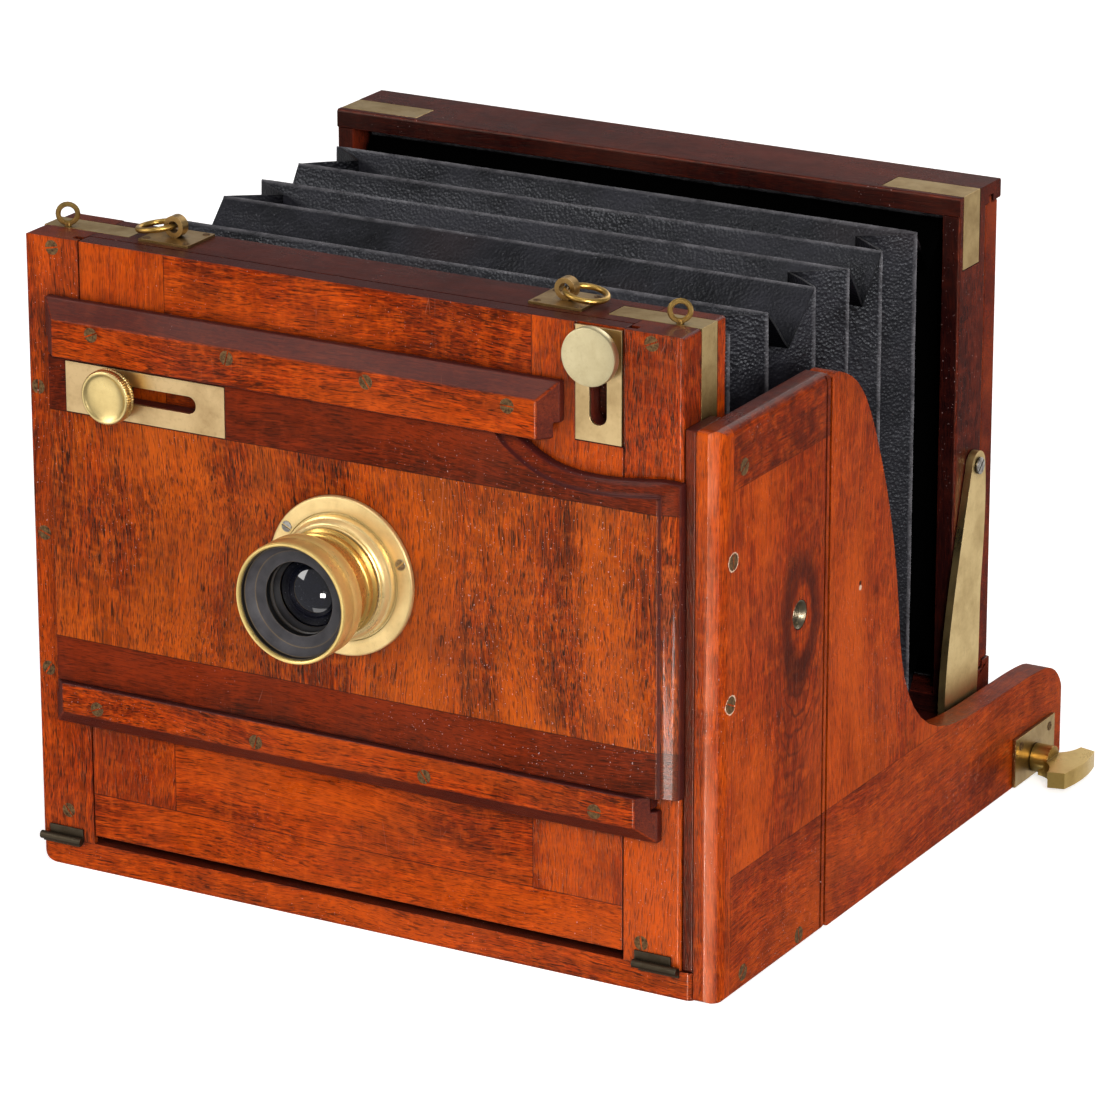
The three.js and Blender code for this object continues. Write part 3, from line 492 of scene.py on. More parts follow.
def prism(mesh, place, outline, low, high, chamfer=0.0):
    """A drawing in the place's own X and Y, given thickness along Z, with small sloped top edges."""
    middle = [sum(point[i] for point in outline) / len(outline) for i in (0, 1)]
    levels = [(low, 0.0), (high - chamfer, 0.0)]
    if chamfer:
        levels.append((high, chamfer))
    layers = []
    for height, inset in levels:
        ring = []
        for x, y in outline:
            share = 1 - inset / (math.hypot(x - middle[0], y - middle[1]) or 1.0)
            point = (middle[0] + (x - middle[0]) * share, middle[1] + (y - middle[1]) * share, height)
            ring.append(mesh.verts.new(place @ (Vector(point) * MM)))
        layers.append(ring)
    close_layers(mesh, layers)


def close_layers(mesh, layers):
    """Side faces between rings of vertices, and a face over each end."""
    mesh.faces.new(layers[0][::-1])
    mesh.faces.new(layers[-1])
    for first, second in zip(layers, layers[1:]):
        for i in range(len(first)):
            j = (i + 1) % len(first)
            mesh.faces.new((first[i], first[j], second[j], second[i]))


def arc(centre, radius, start, end, steps):
    """Points on an arc, angles in degrees."""
    made = []
    for i in range(steps + 1):
        angle = math.radians(start + (end - start) * i / steps)
        made.append((centre[0] + radius * math.cos(angle), centre[1] + radius * math.sin(angle)))
    return made


def screw_head(mesh, place, radius, proud, slot=0.32):
    """A slotted countersunk head: a floor under two half discs that leave the slot between them."""
    wall = radius * 0.97
    spin(mesh, place, [(0, -0.9), (wall, -0.9), (wall, proud - 0.8), (0, proud - 0.8)], 32)
    lean = math.degrees(math.asin(slot / radius))
    for side in (0, 180):
        half = arc((0, 0), radius, side + lean, side + 180 - lean, 16)
        prism(mesh, place, half, proud - 0.85, proud, 0.12)


def finish_mesh(mesh, name, sharp=32):
    """Turns faces outwards, marks sharp edges and makes the object."""
    bmesh.ops.recalc_face_normals(mesh, faces=mesh.faces)
    smooth_faces(mesh, sharp)
    data = bpy.data.meshes.new(name)
    mesh.to_mesh(data)
    mesh.free()
    made = bpy.data.objects.new(name, data)
    bpy.context.scene.collection.objects.link(made)
    return made


def smooth_faces(mesh, sharp):
    """Smooth shading that stops at edges sharper than the given degrees."""
    for edge in mesh.edges:
        edge.smooth = len(edge.link_faces) == 2 and edge.calc_face_angle(0.0) < math.radians(sharp)
    for face in mesh.faces:
        face.smooth = True


def piece(mesh, name, body, look, slot, *replaced, sharp=32):
    """Finishes a mesh as a piece of the camera that rides on a CAD body."""
    made = finish_mesh(mesh, name, sharp)
    made.data.materials.append(look)
    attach(made, body)
    if replaced:
        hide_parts(*replaced)
    return made


def turned(profile, place, name, body, look, slot, *replaced, segments=128, loop=True, sharp=32):
    """A piece that is turned from a profile."""
    mesh = bmesh.new()
    spin(mesh, place, profile, segments, loop)
    return piece(mesh, name, body, look, slot, *replaced, sharp=sharp)


def screws(name, body, look, places, radius, proud, slot=0.32, sharp=40):
    """One piece that holds the slotted head of every screw in a group."""
    mesh = bmesh.new()
    for place in places:
        screw_head(mesh, place, radius, proud, slot)
    return piece(mesh, name, body, look, "brass", sharp=sharp)


def apply_modifier(target, change):
    """Makes the modifier's result the object's own mesh."""
    graph = bpy.context.evaluated_depsgraph_get()
    result = bpy.data.meshes.new_from_object(target.evaluated_get(graph))
    target.modifiers.remove(change)
    target.data = result


def carve(target, tool, operation="DIFFERENCE"):
    """Cuts a tool out of an object, or joins it on, and removes the tool."""
    change = target.modifiers.new("Carve", "BOOLEAN")
    change.operation = operation
    change.object = tool
    change.solver = "EXACT"
    apply_modifier(target, change)
    bpy.data.objects.remove(tool)


def centre_of(node):
    """Middle of a node's box."""
    low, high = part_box(node)
    return (low + high) / 2


def front_of(node):
    """Middle of the front face of a node's box."""
    middle = centre_of(node)
    return Vector((middle.x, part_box(node)[0].y, middle.z))


# ---------------------------------------------------------------- CAD nodes as they are
def dress(name, look, rounding=0.6):
    """Gives a CAD node its material and small rounded edges; its own mesh stays as it is."""
    node = frame["nodes"][name]
    node.data.materials.clear()
    node.data.materials.append(look)
    if "custom_normal" in node.data.attributes:
        node.data.attributes.remove(node.data.attributes["custom_normal"])
    node.data.polygons.foreach_set("use_smooth", [True] * len(node.data.polygons))
    weld = node.modifiers.new("Weld", "WELD")
    weld.merge_threshold = 0.01 * MM
    if rounding:
        bevel = node.modifiers.new("Bevel", "BEVEL")
        bevel.width = rounding * MM
        bevel.segments = 2
        bevel.limit_method = "ANGLE"
        bevel.angle_limit = math.radians(30)
        bevel.harden_normals = True


def panel_clamps(build):
    """The rising panel's upright ends, which stand on its bottom rail."""
    side, rail = 93 * MM, 38 * MM
    outer = build.span(build.math("ABSOLUTE", build.axis("x")), side - 0.1 * MM, side + 0.1 * MM)
    above = build.past("z", rail)
    return build.times(outer, above), [("x", -side, above), ("x", side, above), ("z", rail, 1.0)]


def board_clamps(build):
    """The lens board's level rails above and below its upright field."""
    low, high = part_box("lens_board")
    top, bottom = high.z - 31 * MM, low.z + 27 * MM
    mask = build.math("MAXIMUM", build.past("z", top), build.short_of("z", bottom))
    return mask, [("z", top, 1.0), ("z", bottom, 1.0)]


def dress_wood():
    """Boards with the way their grain runs, the lens board, the screen's glass and the battens."""
    red = {
        "base_board": "x", "tail_floor": "y", "front_left_stile": "z", "front_right_stile": "z",
        "upper_guide_rail": "x", "lower_guide_rail": "x", "screen_frame": "x",
    }
    for index, (name, along) in enumerate(red.items()):
        faces = "y" if name.endswith("guide_rail") or name == "screen_frame" else None
        shade_and_edges = 0.6 if name == "screen_frame" else 1.0
        seed = 0.31 * index + 0.2
        look = board_wood(f"mahogany_{name}", along, RED, seed, shade_and_edges=shade_and_edges, painted_sheen=0.03, faces=faces)
        dress(name, look, 0.9)
    field, across = ("x", RED, 0.9), ("z", ORANGE, 0.8)
    rising = clamped_board("mahogany_rising_panel", 2.4, panel_clamps, field, across)
    dress("rising_panel", varnish(*rising, 1.0, 0.2, 0.02, "y"), 0.7)
    dark = {
        "wing_spacer": "z", "front_top_rail": "x", "front_bottom_rail": "x", "left_front_runner": "y",
        "right_front_runner": "y", "left_tail_runner": "y", "right_tail_runner": "y",
        "carriage_board": "x", "rear_top_rail": "x", "rear_bottom_rail": "x", "rear_left_side": "z",
        "rear_right_side": "z",
    }
    for index, (name, along) in enumerate(dark.items()):
        if name.startswith("rear"):
            look = frame_wood(f"dark_{name}", along, 0.27 * index + 5)
        else:
            look = board_wood(f"dark_{name}", along, DARK_RED, 0.27 * index + 5, 0.8, 0.7, 0.16)
        dress(name, look, 0.8)
    for index, name in enumerate(("right_wing", "tail_wing")):
        dress(name, wing_wood(name, index), 1.0)
    dress("ground_glass", frosted_glass(), 0.2)
    for name in ("bellows_front_batten", "bellows_rear_batten"):
        dress(name, shaded_black("black_" + name), 0.4)
    field, across = ("z", STRIPED, 1.1), ("x", BANDS, 0.8)
    board = clamped_board("mahogany_lens_board", 1.7, board_clamps, field, across)
    build_lens_board(varnish(*board, 1.0, 0.24, 0.02, "y"))


def wing_wood(name, index):
    """Upright orange boards over a level one; the front wing has more boards, a lipping and a knot."""
    build = Shader(f"pale_{name}", 3.3 + index)
    upright, upright_height = wood_figure(build, "z", ORANGE, 0.8)
    level, level_height = wood_figure(build, "y", ORANGE, 0.6, 0.71)
    patches = build.noise(build.moved, 160.0, 3.0, 0.65)
    smoke = screen(66, 20, 8)
    level = build.mix(build.span(patches, 0.35, 0.6, 0.22, 0.0), level, smoke)
    low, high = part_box(name)
    lower = low.z + 56 * MM
    level_part = build.short_of("z", lower)
    joints = [("z", lower, 1.0, 0.25 * MM)]
    front_wing = name == "right_wing"
    if front_wing:
        upper, lip = high.z - 29 * MM, low.y + 11.5 * MM
        above, behind_lip = build.past("z", upper), build.past("y", lip)
        smoky = build.times(build.span(patches, 0.35, 0.6, 0.75, 0.2), above)
        level = build.mix(smoky, level, smoke)
        level_part = build.times(build.math("MAXIMUM", level_part, above), behind_lip)
        joints = [
            ("z", lower, behind_lip, 0.25 * MM), ("z", upper, behind_lip, 0.2 * MM),
            ("y", lip, 1.0, 0.2 * MM),
        ]
    colour = build.mix(level_part, upright, level)
    height = build.blend(level_part, upright_height, level_height)
    for letter, at, where, width in joints:
        colour = joint_line(build, colour, letter, at, where, width)
    if front_wing:
        colour = painted_nose_highlight(build, knot(build, chipped_rings(build, colour)))
    return varnish(build, nail_hole(build, colour), height, 0.95 if front_wing else 0.4, 0.2, 0.03)


def chipped_rings(build, colour):
    """Varnish chipped off to pale wood round two of the wing's screws."""
    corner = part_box("right_wing")[0]
    for depth, height in WING_SCREWS[1:3]:
        away = build.away_from(Vector((0, corner.y + depth * MM, height * MM)))
        ragged = build.times(build.noise(build.moved, 300.0, 3.0, 0.7), 2.6 * MM)
        outside = build.span(build.math("ADD", away, ragged), 5.9 * MM, 5.5 * MM)
        ring = build.times(outside, build.span(away, 3.4 * MM, 3.7 * MM, 0.0, 0.85))
        colour = build.mix(ring, colour, screen(226, 200, 172))
    return colour


def nail_hole(build, colour):
    """A small nail hole with a pale splinter under it, behind the bead."""
    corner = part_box("right_wing")[0]
    for height, size, tone in ((151.8, 1.5, screen(214, 184, 160)), (154, 1.3, screen(16, 6, 5))):
        away = build.away_from(Vector((0, corner.y + 133 * MM, height * MM)))
        colour = build.mix(build.span(away, size * MM, size * 0.7 * MM, 0.0, 0.9), colour, tone)
    return colour


def painted_nose_highlight(build, colour):
    """A painted highlight in pale streaks down the rounded front edge, where it turns between front and
    side.
    """
    normal = build.node("NewGeometry").outputs["Normal"]
    nose = build.node("VectorMath", {0: normal, 1: (0.42, -0.907, 0.0)}, operation="DOT_PRODUCT")
    worn = build.noise(build.scaled((1, 1, 0.3)), 90.0, 3.0, 0.6)
    share = build.times(build.span(worn, 0.3, 0.62, 0.1, 0.5),
                        build.span(nose.outputs["Value"], 0.93, 1.0))
    # painted highlight along the nose
    return build.mix(share, colour, screen(226, 128, 92))


def knot(build, colour):
    """Dark oval heart round the bush, with growth rings that open out below it."""
    bush = centre_of("side_bush")
    waver = build.noise(build.moved, 36.0, 3.0)
    shaky = build.times(build.math("SUBTRACT", waver, 0.5), 14 * MM)
    away = build.math("ADD", build.away_from(bush, (0.0, 1.0, 0.58)), shaky)
    heart = build.times(build.span(away, 22 * MM, 16 * MM), build.span(away, 8 * MM, 11 * MM))
    colour = build.mix(build.times(heart, 0.7), colour, screen(48, 14, 8))
    reach = build.math("ADD", build.away_from(bush, (0.0, 1.0, 0.42)), shaky)
    rings = build.span(build.math("SINE", build.times(reach, 1500.0)), 0.55, 0.98)
    spread = build.times(build.span(reach, 48 * MM, 20 * MM), build.span(reach, 9 * MM, 14 * MM))
    under = build.span(build.axis("z"), bush.z + 20 * MM, bush.z - 10 * MM, 0.2, 0.75)
    lines = build.times(build.times(rings, spread), under)
    return build.mix(lines, colour, screen(82, 26, 10))


# ---------------------------------------------------------------- lens board
TONGUE = 6  # millimetres of the board's height inside each guide rail
STEP_BEHIND_RAIL = 22  # millimetres from the step's foot to the end of the upper rail


def bezier(a, b, c, d, steps):
    """Points on a cubic curve, without its first."""
    made = []
    for i in range(1, steps + 1):
        t = i / steps
        u = 1 - t
        weights = (u ** 3, 3 * u * u * t, 3 * u * t * t, t ** 3)
        made.append(tuple(sum(w * p[k] for w, p in zip(weights, (a, b, c, d))) for k in (0, 1)))
    return made


def lens_board_outline():
    """Points of the board's edge with the inward step that its moulding takes at each, millimetres."""
    low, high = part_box("lens_board")
    left, right = low.x / MM, high.x / MM
    bottom, top = low.z / MM + TONGUE, high.z / MM - TONGUE
    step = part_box("upper_guide_rail")[1].x / MM - STEP_BEHIND_RAIL
    wide, narrow = 9.5, 6.5
    ogee = [(right - 4, top - 10)]
    ogee += bezier(ogee[0], (right - 30, top - 14), (step + 30, top - 16), (step + 16, top - 10), 14)
    ogee += bezier(ogee[-1], (step + 10, top - 7.6), (step + 5, top - 4), (step, top), 6)
    points = [((right, bottom), (-wide, 0.0)), ((right, top - 11), (-wide, -narrow))]
    for i in range(1, len(ogee)):
        before, after = ogee[i - 1], ogee[min(len(ogee) - 1, i + 1)]
        run = Vector((after[0] - before[0], after[1] - before[1])).normalized()
        points.append((ogee[i], (-run.y * narrow, run.x * narrow)))
    return points + [(corner, (0.0, 0.0)) for corner in ((step - 8, top), (left, top), (left, bottom))]


def build_lens_board(look):
    """The shifting board: rounded moulding on its free edges, slot, tongues behind the rails."""
    low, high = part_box("lens_board")
    front, back = low.y / MM, high.y / MM
    outline = lens_board_outline()
    # share of the moulding's width, and place behind the front face
    moulding = [(0.0, 4.6), (0.03, 3.9), (0.12, 3.3), (0.4, 2.6), (0.7, 1.9), (0.84, 1.5), (0.89, 1.15),
                (0.93, 0.72), (0.965, 0.32), (0.99, 0.1), (1.02, 0.0), (1.08, 0.0)]
    mesh = bmesh.new()
    layers = []
    for share, y in [(0.0, back)] + [(share, front + depth) for share, depth in moulding]:
        points = [Vector((p[0] + share * d[0], y, p[1] + share * d[1])) * MM for p, d in outline]
        layers.append([mesh.verts.new(point) for point in points])
    close_layers(mesh, layers)
    board = piece(mesh, "lens_board_moulded", "cross_front", look, "mahogany", "lens_board", sharp=40)
    rework(board, merge_points)
    add_tongues(board)
    cut_slot(board)
    rework(board, lambda carved: smooth_faces(carved, 40))


def add_tongues(board):
    """Thinner strips of the board that run in the guide rails' grooves."""
    low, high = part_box("lens_board")
    front = low.y + 2.9 * MM
    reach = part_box("upper_guide_rail")[1].x - STEP_BEHIND_RAIL * MM
    strip = (TONGUE + 1) * MM
    tongues = bmesh.new()
    box_mesh(tongues, (low.x, front, high.z - strip), (reach, high.y, high.z))
    box_mesh(tongues, (low.x, front, low.z), (high.x - 13 * MM, high.y, low.z + strip))
    carve(board, finish_mesh(tongues, "tongue_tool"), "UNION")


def cut_slot(board):
    """The slot that the shift knob's screw passes through, and the seat of the slot plate."""
    low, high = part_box("shift_slot_plate")
    knob = centre_of("shift_knob")
    place = facing(Vector((0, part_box("lens_board")[0].y - 0.01, knob.z)), (0, 1, 0))
    half = 4.0
    run = arc((high.x / MM - 19, 0), half, -90, 90, 10) + arc((knob.x / MM - 1, 0), half, 90, 270, 10)
    sign = (place.to_3x3() @ Vector((1, 0, 0))).x
    slot = bmesh.new()
    prism(slot, place, [(sign * x, y) for x, y in run], 0, 30)
    carve(board, finish_mesh(slot, "slot_tool"))
    seat = bmesh.new()
    box_mesh(seat, low - Vector((0.2, 1, 0.2)) * MM, high + Vector((0.2, 0.05, 0.2)) * MM)
    carve(board, finish_mesh(seat, "seat_tool"))


def box_mesh(mesh, low, high):
    """A block between two corners, used only as a cutting tool or as part of a larger form."""
    corners = [
        mesh.verts.new((x, y, z))
        for x in (low[0], high[0]) for y in (low[1], high[1]) for z in (low[2], high[2])
    ]
    for face in ((0, 1, 3, 2), (4, 6, 7, 5), (0, 4, 5, 1), (2, 3, 7, 6), (0, 2, 6, 4), (1, 5, 7, 3)):
        mesh.faces.new([corners[i] for i in face])


def rework(made, change):
    """Lets a function change an object's mesh."""
    mesh = bmesh.new()
    mesh.from_mesh(made.data)
    change(mesh)
    mesh.to_mesh(made.data)
    mesh.free()


def merge_points(mesh):
    """Joins the points where the moulding ends in nothing."""
    bmesh.ops.remove_doubles(mesh, verts=mesh.verts, dist=0.02 * MM)
    bmesh.ops.dissolve_degenerate(mesh, edges=mesh.edges, dist=0.02 * MM)
    bmesh.ops.recalc_face_normals(mesh, faces=mesh.faces)


# ---------------------------------------------------------------- lens
# Profiles are (radius, height) in millimetres, with heights measured from the lens board's face.


def build_lens():
    """Brass mount, black rings, two glasses and the three screws of the flange."""
    middle = front_of("lens_flange")
    seat = Vector((middle.x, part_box("lens_flange")[1].y, middle.z))
    turned_brass(facing(seat, OUT_FRONT))
    black_rings(facing(seat, OUT_FRONT))
    glass = dark_glass()
    for name, out, profile in (
        ("front_glass", OUT_FRONT, dome(19.2, 21.2, 23.6, 9.0)),
        ("rear_glass", -OUT_FRONT, dome(19.2, 8.2, 11.6, 1.2)),
    ):
        place = facing(seat, out)
        turned(profile, place, f"{name}_domed", "cross_front", glass, "lens_glass", name,
               segments=96, loop=False, sharp=50)
    places = []
    for angle in (145, 19, 262):
        turn = math.radians(angle)
        point = seat + Vector((math.cos(turn) * 32.8, -3.0, math.sin(turn) * 32.8)) * MM
        places.append(facing(point, OUT_FRONT, turn * 2.3))
    screws("lens_flange_screws", "cross_front", steel_finish(), places, 2.5, 0.35, 0.35, sharp=32)


def turned_brass(place):
    """Flange, barrel and hood, turned from brass."""
    pale = brass("lens_flange_brass", screen(248, 217, 152), 2.0, 0.3, 0.24, rings=True, metal=0.68)
    turned([
        (22.4, 0), (36.3, 0), (36.5, 0.3), (36.5, 2.1), (36.1, 2.7), (35.4, 3.0), (29.6, 3.05),
        (29.1, 2.7), (28.7, 2.75), (28.6, 3.2), (28.6, 5.4), (28.3, 6.2), (27.6, 6.5), (27.2, 7.2),
        (26.7, 8.6), (26.0, 9.4), (25.6, 9.6), (25.6, 10.6), (25.2, 11), (22.4, 11),
    ], place, "lens_flange_turned", "cross_front", pale, "brass", "lens_flange")
    amber = brass("lens_neck_amber", screen(226, 182, 98), 3.0, 0.4, 0.14, rings=True, metal=0.8)
    turned([
        (19.6, -13), (22.1, -13), (22.1, 11.2), (24.2, 11.2), (24.6, 11.6), (24.6, 12.4), (24.0, 12.9),
        (23.3, 13.4), (23.0, 14.4), (23.2, 16.0), (24.1, 16.6), (24.4, 17.1), (24.4, 18.0), (24.0, 18.5),
        (23.2, 18.8), (22.7, 20.5), (22.6, 24.0), (22.9, 27.0), (23.2, 27.9), (19.6, 27.9),
    ], place, "lens_barrel_turned", "cross_front", amber, "brass", "lens_barrel")
    gold = brass("lens_gold", screen(238, 206, 128), 1.0, 0.3, 0.2, rings=True, metal=0.6)
    turned([
        (19.5, 28.1), (25.6, 28.1), (26.8, 28.6), (27.5, 29.6), (27.6, 31), (27.6, 35.2), (27.35, 35.6),
        (27.35, 36.1), (27.6, 36.5), (27.6, 42.6), (27.5, 43.8), (27.1, 44.4), (26.5, 44.5), (26.0, 44.2),
        (25.75, 43.4), (25.6, 40.9), (25.3, 40.75), (21.4, 35.9), (20.9, 35.2), (20.9, 31), (19.5, 31),
    ], place, "lens_hood_turned", "cross_front", gold, "brass", "lens_hood")


def black_rings(place):
    """Funnel in the hood's mouth and the ring that holds the front element."""
    funnel = black_finish("lens_lacquer", 0.3, 62, 0.35)
    turned([
        (16.8, 33.3), (20.6, 33.3), (20.8, 35.4), (21.4, 36.3), (25.2, 41.2), (25.45, 43.2), (25.2, 43.3),
        (24.9, 39.2), (24.4, 37.6), (21.4, 36.9), (18.0, 36.4), (17.3, 36.6), (16.9, 36.5), (16.8, 35.9),
    ], place, "lens_baffle_turned", "cross_front", funnel, "black_lacquer", "lens_baffle")
    ring = black_finish("lens_retaining_ring", 0.3, 40, 0.3)
    turned([
        (15.4, 27.4), (19.3, 26.2), (19.35, 33.0), (17.9, 33.0), (17.4, 31.6), (16.8, 31.2), (16.4, 29.4),
        (15.9, 28.6),
    ], place, "lens_retaining_ring", "cross_front", ring, "black_lacquer", segments=96)


def dome(radius, back, edge, rise):
    """Profile of a lens element: flat back, short edge, curved face."""
    made = [(0, back), (radius - 0.2, back), (radius, back + 0.2), (radius, edge)]
    for i in range(1, 15):
        share = 1 - i / 14
        made.append((radius * share, edge + rise * (1 - share ** 2)))
    return made


def steel_finish():
    """Grey, pitted screw heads."""
    build = Shader("old_steel", 0.6)
    patch = build.noise(build.moved, 500.0, 4.0, 0.7)
    colour = build.mix(build.span(patch, 0.4, 0.7), screen(176, 172, 166), screen(92, 86, 80))
    colour = build.mix(build.times(build.hollow(1.2 * MM), 0.9), colour, screen(20, 16, 12))
    return build.finish(
        Base_Color=colour, Metallic=1.0, Roughness=build.span(patch, 0.3, 0.7, 0.25, 0.5),
        Normal=build.bump(patch, 0.3, 0.05 * MM),
    )


# ---------------------------------------------------------------- knobs, plates, rings
def rise_knob():
    """Flat round knob with a plain rim and its clamp screw."""
    pale = brass("rise_knob_brass", screen(222, 208, 166), 4.0, 0.25, 0.34)
    low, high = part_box("rise_knob")
    long = (high.y - low.y) / MM
    profile = [
        (0, -long), (2.6, -long), (3, 0.6 - long), (3, -8.7), (5.6, -8.7), (6, -8.3), (6, -5.1),
        (11.8, -4.8), (12.7, -4.5), (13, -4.0), (13, -0.8), (12.8, -0.25), (12.2, -0.03), (6, 0), (0, 0),
    ]
    place = facing(front_of("rise_knob"), OUT_FRONT)
    turned(profile, place, "rise_knob_flat", "rise_clamp", pale, "brass", "rise_knob",
           segments=96, loop=False, sharp=40)


def shift_knob():
    """Dished knob with a knurled rim and its clamp screw."""
    gold = brass("shift_knob_brass", screen(238, 212, 146), 5.0, 0.25, 0.2, rings=True)
    low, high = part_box("shift_knob")
    long = (high.y - low.y) / MM
    ridges = 64
    profile = [
        (0, -long), (2.6, -long), (3, 0.6 - long), (3, -9.5), (6.6, -9.4), (7, -9.1), (7, -6.7),
        (11.4, -6.4), (11.9, -6.0), (12.4, -5.4), (12.4, -4.4), (11.9, -4.1), (11.9, -3.7), (12.4, -3.4),
        (12.4, -0.9), (12.0, -0.3), (11.5, 0), (10.9, -0.1), (10.5, -0.5), (9.2, -1.1), (6, -1.9),
        (3, -2.2), (0, -2.3),
    ]
    knurled = (9, 10, 13, 14)  # the profile's points on the rim

    def knurl(angle, index):
        return 0.26 * math.cos(ridges * angle) - 0.1 if index in knurled else 0.0

    mesh = bmesh.new()
    spin(mesh, facing(front_of("shift_knob"), OUT_FRONT), profile, ridges * 4, ripple=knurl)
    piece(mesh, "shift_knob_knurled", "shift_clamp", gold, "brass", "shift_knob", sharp=46)


def build_bushes():
    """Threaded brass bushes for the tripod screw."""
    look = brass("bush_brass", screen(150, 138, 116), 6.0, 0.7, 0.26)
    turns, pitch = 10, 0.8
    for name, out in (("side_bush", OUT_RIGHT), ("base_bush", Vector((0, 0, -1)))):
        low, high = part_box(name)
        centre = (low + high) / 2
        surface = centre + out * ((high.x - low.x) / 2 if out.x else (high.z - low.z) / 2)
        thread = []
        for i in range(turns + 1):
            thread += [(4.76, -10.3 + i * pitch), (4.35, -9.9 + i * pitch)]
        wall = (high.y - low.y) / 2 / MM
        mouth = [(4.9, -1.8), (wall - 0.45, -0.15), (wall - 0.2, 0.0)]
        profile = thread[:-1] + mouth + [(wall, -0.2), (wall, -10.5), (4.9, -10.5)]
        place = facing(surface, out)
        turned(profile, place, f"{name}_threaded", "camera_body", look, "brass", name,
               segments=72, sharp=40)


def dress_metal():
    """Brass nodes: slot, tone, tarnish and roughness of each kind."""
    finishes = {
        "rise_slot_plate": ("brass", (214, 186, 136), 0.4, 0.24),
        "shift_slot_plate": ("brass", (212, 182, 134), 0.45, 0.26),
        "latch_plate": ("brass", (168, 140, 88), 0.5, 0.22),
        "latch_lever": ("brass", (200, 168, 96), 0.35, 0.2),
        "SIDE_strut": ("brass", (216, 188, 128), 0.4, 0.24),
        "front_SIDE_strap": ("aged_brass", (178, 150, 96), 0.6, 0.3),
        "rear_SIDE_strap": ("aged_brass", (178, 150, 96), 0.6, 0.3),
        "SIDE_corner_hinge": ("aged_brass", (78, 69, 56), 0.7, 0.42),
        "SIDE_ring_plate": ("aged_brass", (170, 138, 86), 0.7, 0.3),
        "SIDE_screw_eye": ("brass", (196, 160, 92), 0.5, 0.25),
        "SIDE_strap_ring": ("brass", (206, 168, 92), 0.45, 0.22),
    }
    count = 0
    for pattern, (slot, tone, tarnish, rough) in finishes.items():
        for side in ("left", "right") if "SIDE" in pattern else ("",):
            name = pattern.replace("SIDE", side)
            along = "z" if "strut" in name or name == "rise_slot_plate" else "x"
            look = brass(f"brass_{name}", screen(*tone), 0.43 * count, tarnish, rough, along=along)
            count += 1
            if name.endswith("strap_ring"):
                dress(name, look, 0)
                smooth = frame["nodes"][name].modifiers.new("Round", "SUBSURF")
                smooth.levels = smooth.render_levels = 2
            else:
                dress(name, look, 0.5 if name == "latch_lever" or "strut" in name else 0.25)


def dull_bronze():
    """Brown, dirty screw heads that have hardly any metal shine left."""
    build = Shader("screw_bronze", 8.0)
    patch = build.noise(build.moved, 700.0, 4.0, 0.7)
    colour = build.mix(build.span(patch, 0.35, 0.68), screen(66, 40, 24), screen(150, 116, 72))
    colour = build.mix(build.times(build.hollow(1.0 * MM), 0.9), colour, screen(18, 8, 5))
    return build.finish(
        Base_Color=colour, Metallic=0.45, Roughness=build.span(patch, 0.3, 0.7, 0.32, 0.6),
        Normal=build.bump(patch, 0.4, 0.08 * MM),
    )


def build_screws():
    """Slotted screws of the rails, stiles, wing, small plates and struts."""
    bronze, steel = dull_bronze(), steel_finish()
    screws("rail_screws", "rising_front", bronze, rail_places(), 3.4, 0.1)
    screws("stile_screws", "camera_body", bronze, stile_places(), 3.5, FLUSH)
    screws("wing_screws", "camera_body", bronze, wing_places(), 3.9, 0.1)
    screws("ring_plate_screws", "camera_body", bronze, ring_plate_places(), 1.7, 0.2, 0.25)
    screws("latch_plate_screws", "camera_body", bronze, latch_plate_places(), 2.2, 0.2, 0.3)
    for side, out in (("left", -OUT_RIGHT), ("right", OUT_RIGHT)):
        strut_screw(f"{side}_strut_pivot", out, steel)
        strut_screw(f"{side}_strut_stud", out, bronze)


def rail_places():
    """Places of the guide rails' screw heads, each slot turned its own way."""
    places = []
    for rail, (level, shares) in RAIL_SCREWS.items():
        low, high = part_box(rail)
        height = low.z + level * (high.z - low.z)
        for index, share in enumerate(shares):
            point = Vector((low.x + share * (high.x - low.x), low.y, height))
            places.append(facing(point, OUT_FRONT, 0.9 * index + 0.4))
    return places


def stile_places():
    """Places of the screw heads in both stiles."""
    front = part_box("front_left_stile")[0].y
    return [
        facing(Vector((across * MM, front, height * MM)), OUT_FRONT, 1.3 * index + 0.2)
        for index, (across, height) in enumerate(STILE_SCREWS)
    ]


def wing_places():
    """Places of the screw heads in the wing's outer face."""
    low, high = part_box("right_wing")
    return [
        facing(Vector((high.x, low.y + depth * MM, height * MM)), OUT_RIGHT, 1.1 * index + 0.5)
        for index, (depth, height) in enumerate(WING_SCREWS)
    ]


def ring_plate_places():
    """Places of four small screw heads in each ring plate."""
    inset, thickness = 2.8 * MM, 1.18 * MM
    places = []
    for name in ("left_ring_plate", "right_ring_plate"):
        low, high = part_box(name)
        for x in (low.x + inset, high.x - inset):
            for y in (low.y + inset, high.y - inset):
                places.append(facing(Vector((x, y, low.z + thickness)), UP, x * 90 + y * 40))
    return places


def latch_plate_places():
    """Places of the two screw heads in the latch plate."""
    low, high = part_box("latch_plate")
    height = low.z + 0.8 * (high.z - low.z)
    return [
        facing(Vector((high.x, low.y + share * (high.y - low.y), height)), OUT_RIGHT, share * 4)
        for share in (0.14, 0.86)
    ]


